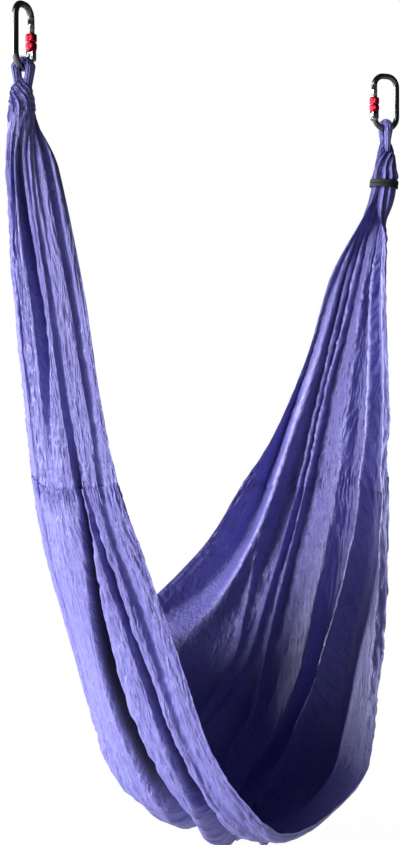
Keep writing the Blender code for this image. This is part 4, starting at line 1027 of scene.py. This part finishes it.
def make_sleeve(side, sizes):
    """The lock sleeve, turned and then cut with grip ribs."""
    node = side + "_lock_sleeve"
    low, high = (Vector(corner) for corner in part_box(node))
    foot = Vector(((low.x + high.x) / 2, (low.y + high.y) / 2, low.z))
    length = high.z - low.z
    bm = turned(sleeve_profile(length), foot, steps=4 * sizes.knurls)
    grip = SLEEVE_RADIUS
    for vert in bm.verts:
        spoke = vert.co - foot
        height = spoke.z
        spoke.z = 0.0
        if spoke.length > grip - 0.0002:
            rib = 0.5 + 0.5 * math.cos(sizes.knurls * math.atan2(spoke.y, spoke.x))
            crown = SLEEVE_CROWN * abs(height - length / 2) / length
            spoke.length = grip - sizes.knurl_depth * (1 - rib) ** 1.5 - crown
            vert.co = foot + spoke + Vector((0.0, 0.0, height))
    return piece_from(side + "_knurled_sleeve", bm, "red_anodised", side + "_lock_sleeve", [node],
                      math.radians(38))


def make_gate_thread(side, sizes):
    """The screw thread and the bright collar over it, on the bare part of the gate."""
    sleeve_low, sleeve_high = (Vector(corner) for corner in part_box(side + "_lock_sleeve"))
    centre = Vector(((sleeve_low.x + sleeve_high.x) / 2, (sleeve_low.y + sleeve_high.y) / 2, 0.0))
    top = HANG_POINTS[side].z - THREAD_TOP
    bottom = sleeve_high.z + THREAD_ROOM
    turns = (top - bottom) / sizes.thread_pitch
    inside = GATE_RADIUS - THREAD_ROOT
    crest = GATE_RADIUS + sizes.thread_height
    pitch = sizes.thread_pitch
    ridge = [(radius, share * pitch) for radius, share in (
        (inside, -0.36), (GATE_RADIUS, -0.32), (crest, -0.08), (crest, 0.08), (GATE_RADIUS, 0.32),
        (inside, 0.36), (inside, -0.36))]
    foot = centre + Vector((0.0, 0.0, bottom))
    bm = turned(ridge, foot, steps=int(28 * turns), rise=top - bottom, turns=turns)
    bmesh.ops.holes_fill(bm, edges=[edge for edge in bm.edges if edge.is_boundary], sides=0)
    bmesh.ops.recalc_face_normals(bm, faces=bm.faces)
    piece_from(side + "_gate_thread", bm, "bright_steel", side + "_gate", (), math.radians(30))
    collar = [(inside, 0.0), (crest - 0.0001, 0.0), (crest, 0.0003), (crest, 0.0021),
              (GATE_RADIUS, 0.0024), (GATE_RADIUS, 0.0030), (crest, 0.0033), (crest, 0.0052),
              (crest - 0.0001, 0.0055), (inside, 0.0055), (inside, 0.0)]
    bm = turned(collar, centre + Vector((0.0, 0.0, top + COLLAR_ROOM)), steps=48)
    return piece_from(side + "_gate_collar", bm, "bright_steel", side + "_gate", (), math.radians(30))


# Parts inside a gate that stay as the frame has them, and their finishes
HIDDEN_PARTS = {"latch_pin": "bright_steel", "plunger": "bright_steel", "gate_spring": "spring_steel"}


def make_carabiner(side, sizes):
    """The steel parts of one carabiner."""
    smooth_copy(side + "_carabiner_body", side + "_bow", "polished_steel", "hangers")
    smooth_copy(side + "_gate", side + "_gate_bar", "bright_steel", side + "_gate")
    rivet = side + "_hinge_rivet"
    smooth_copy(rivet, side + "_rivet", "bright_steel", frame["nodes"][rivet]["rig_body"])
    make_gate_thread(side, sizes)
    for node, name in HIDDEN_PARTS.items():
        hidden = frame["nodes"][side + "_" + node]
        for place in hidden.material_slots:
            place.link = "OBJECT"
            place.material = finish(name)


# Stage

def room(light):
    """Even dim light, with a white wall behind everything that is seen straight."""
    world = bpy.data.worlds.new("room")
    bpy.context.scene.world = world
    world.use_nodes = True
    recipe = Recipe(world.node_tree)
    dim = recipe.node("ShaderNodeBackground", None, {"Color": WHITE, "Strength": light})
    white = recipe.node("ShaderNodeBackground", None, {"Color": WHITE, "Strength": 1.0})
    both = recipe.node("ShaderNodeMixShader", None, {0: seen_straight(recipe), 1: dim, 2: white})
    recipe.node("ShaderNodeOutputWorld", None, {"Surface": both})


def put(name, data, place, way):
    """Place the camera or a lamp so that it looks along a direction."""
    made = linked(name, data)
    made.location = place
    made.rotation_mode = "QUATERNION"
    made.rotation_quaternion = way.to_track_quat("-Z", "Y")
    return made


def make_stage(sizes):
    """The camera, three soft lamps on the left, the white floor and the white room."""
    ahead = Vector((math.sin(sizes.heading), math.cos(sizes.heading), 0.0))
    aside = Vector((math.cos(sizes.heading), -math.sin(sizes.heading), 0.0))
    camera = bpy.data.cameras.new("camera")
    camera.lens = sizes.lens
    camera.sensor_width = SENSOR_WIDTH
    eye = aside * sizes.aside - ahead * sizes.distance - Vector((0.0, 0.0, sizes.eye_drop))
    bpy.context.scene.camera = put("camera", camera, eye, ahead)
    low, high = (Vector(corner) for corner in CAD_BOX)
    centre = (low + high) / 2
    for name, angles in LAMPS.items():
        turn, rise = (math.radians(angle) for angle in angles)
        level = aside * math.sin(turn) - ahead * math.cos(turn)
        way = level * math.cos(rise) + Vector((0.0, 0.0, math.sin(rise)))
        lamp = bpy.data.lights.new(name + "_lamp", "AREA")
        lamp.size = sizes.lamp_size
        lamp.energy = getattr(sizes, name + "_power")
        put(name + "_lamp", lamp, centre + way * sizes.lamp_distance, -way)
    bm = bmesh.new()
    bmesh.ops.create_grid(bm, x_segments=8, y_segments=8, size=FLOOR_HALF_SIDE)
    bmesh.ops.translate(bm, verts=bm.verts, vec=(centre.x, centre.y, low.z - sizes.floor_drop))
    mesh = mesh_from("floor", bm)
    mesh.materials.append(finish("white_floor"))
    floor = linked("floor", mesh)
    room(sizes.room_light)
    bpy.context.scene.view_settings.view_transform = "Standard"


# Operators

class HAMMOCK_OT_stage(bpy.types.Operator):
    """Set up the floor, the soft lamps and the camera"""
    bl_idname = "hammock.stage"
    bl_label = "Stage"

    def execute(self, context):
        make_stage(context.scene.hammock_stage)
        return {"FINISHED"}


class HAMMOCK_OT_carabiners(bpy.types.Operator):
    """Dress both bows, gates, rivets and the pins and springs inside in steel"""
    bl_idname = "hammock.carabiners"
    bl_label = "Carabiners"

    def execute(self, context):
        for side in ("left", "right"):
            make_carabiner(side, context.scene.hammock_steel)
        return {"FINISHED"}


class HAMMOCK_OT_lock_sleeves(bpy.types.Operator):
    """Turn both red lock sleeves"""
    bl_idname = "hammock.lock_sleeves"
    bl_label = "Lock sleeves"

    def execute(self, context):
        for side in ("left", "right"):
            make_sleeve(side, context.scene.hammock_steel)
        return {"FINISHED"}


class HAMMOCK_OT_sling(bpy.types.Operator):
    """Hang the three panels of cloth, with their loops, hems and seams"""
    bl_idname = "hammock.sling"
    bl_label = "Sling"

    def execute(self, context):
        sizes = context.scene.hammock_cloth
        for panel in PANELS:
            cloth = make_panel(panel, sizes)
            pieces = [make_hem_stitches(panel, sizes)]
            length = abs(PANELS[panel][0] - PANELS[panel][1]) * STATION_LENGTH
            cut = FACE_CUT * length * (1.0 if panel == "seat_panel" else TAPERED_SHARE)
            if panel == "seat_panel":
                rests_on = ["left_end_panel_cloth", "right_end_panel_cloth"]
            else:
                side = panel.split("_")[0]
                pieces += [make_loop(side, sizes), make_seam_stitches(side, sizes)]
                rests_on = [side + "_bow"]
        return {"FINISHED"}


class HAMMOCK_OT_neck_band(bpy.types.Operator):
    """Wind the black elastic round the right neck"""
    bl_idname = "hammock.neck_band"
    bl_label = "Neck band"

    def execute(self, context):
        make_neck_band(context.scene.hammock_cloth)
        return {"FINISHED"}


class HAMMOCK_PT_pieces(bpy.types.Panel):
    """The hammock's pieces and their sizes"""
    bl_idname = "HAMMOCK_PT_pieces"
    bl_label = "Aerial yoga hammock"
    bl_space_type = "VIEW_3D"
    bl_region_type = "UI"
    bl_category = "Hammock"

    def draw(self, context):
        for sizes in (context.scene.hammock_cloth, context.scene.hammock_steel, context.scene.hammock_stage):
            box = self.layout.box()
            for name in sizes.bl_rna.properties.keys():
                if name not in ("rna_type", "name"):
                    box.prop(sizes, name)
        for operator in OPERATORS:
            self.layout.operator(operator.bl_idname)


OPERATORS = (HAMMOCK_OT_stage, HAMMOCK_OT_carabiners, HAMMOCK_OT_lock_sleeves, HAMMOCK_OT_sling,
             HAMMOCK_OT_neck_band)
CLASSES = (ClothSizes, SteelSizes, StageSizes, *OPERATORS, HAMMOCK_PT_pieces)


def register():
    for kind in CLASSES:
        bpy.utils.register_class(kind)
    bpy.types.Scene.hammock_cloth = bpy.props.PointerProperty(type=ClothSizes)
    bpy.types.Scene.hammock_steel = bpy.props.PointerProperty(type=SteelSizes)
    bpy.types.Scene.hammock_stage = bpy.props.PointerProperty(type=StageSizes)


def unregister():
    del bpy.types.Scene.hammock_stage
    del bpy.types.Scene.hammock_steel
    del bpy.types.Scene.hammock_cloth
    for kind in reversed(CLASSES):
        bpy.utils.unregister_class(kind)


def main():
    register()
    bpy.ops.hammock.stage()
    bpy.ops.hammock.carabiners()
    bpy.ops.hammock.lock_sleeves()
    bpy.ops.hammock.sling()
    bpy.ops.hammock.neck_band()


if __name__ == "__main__":
    main()
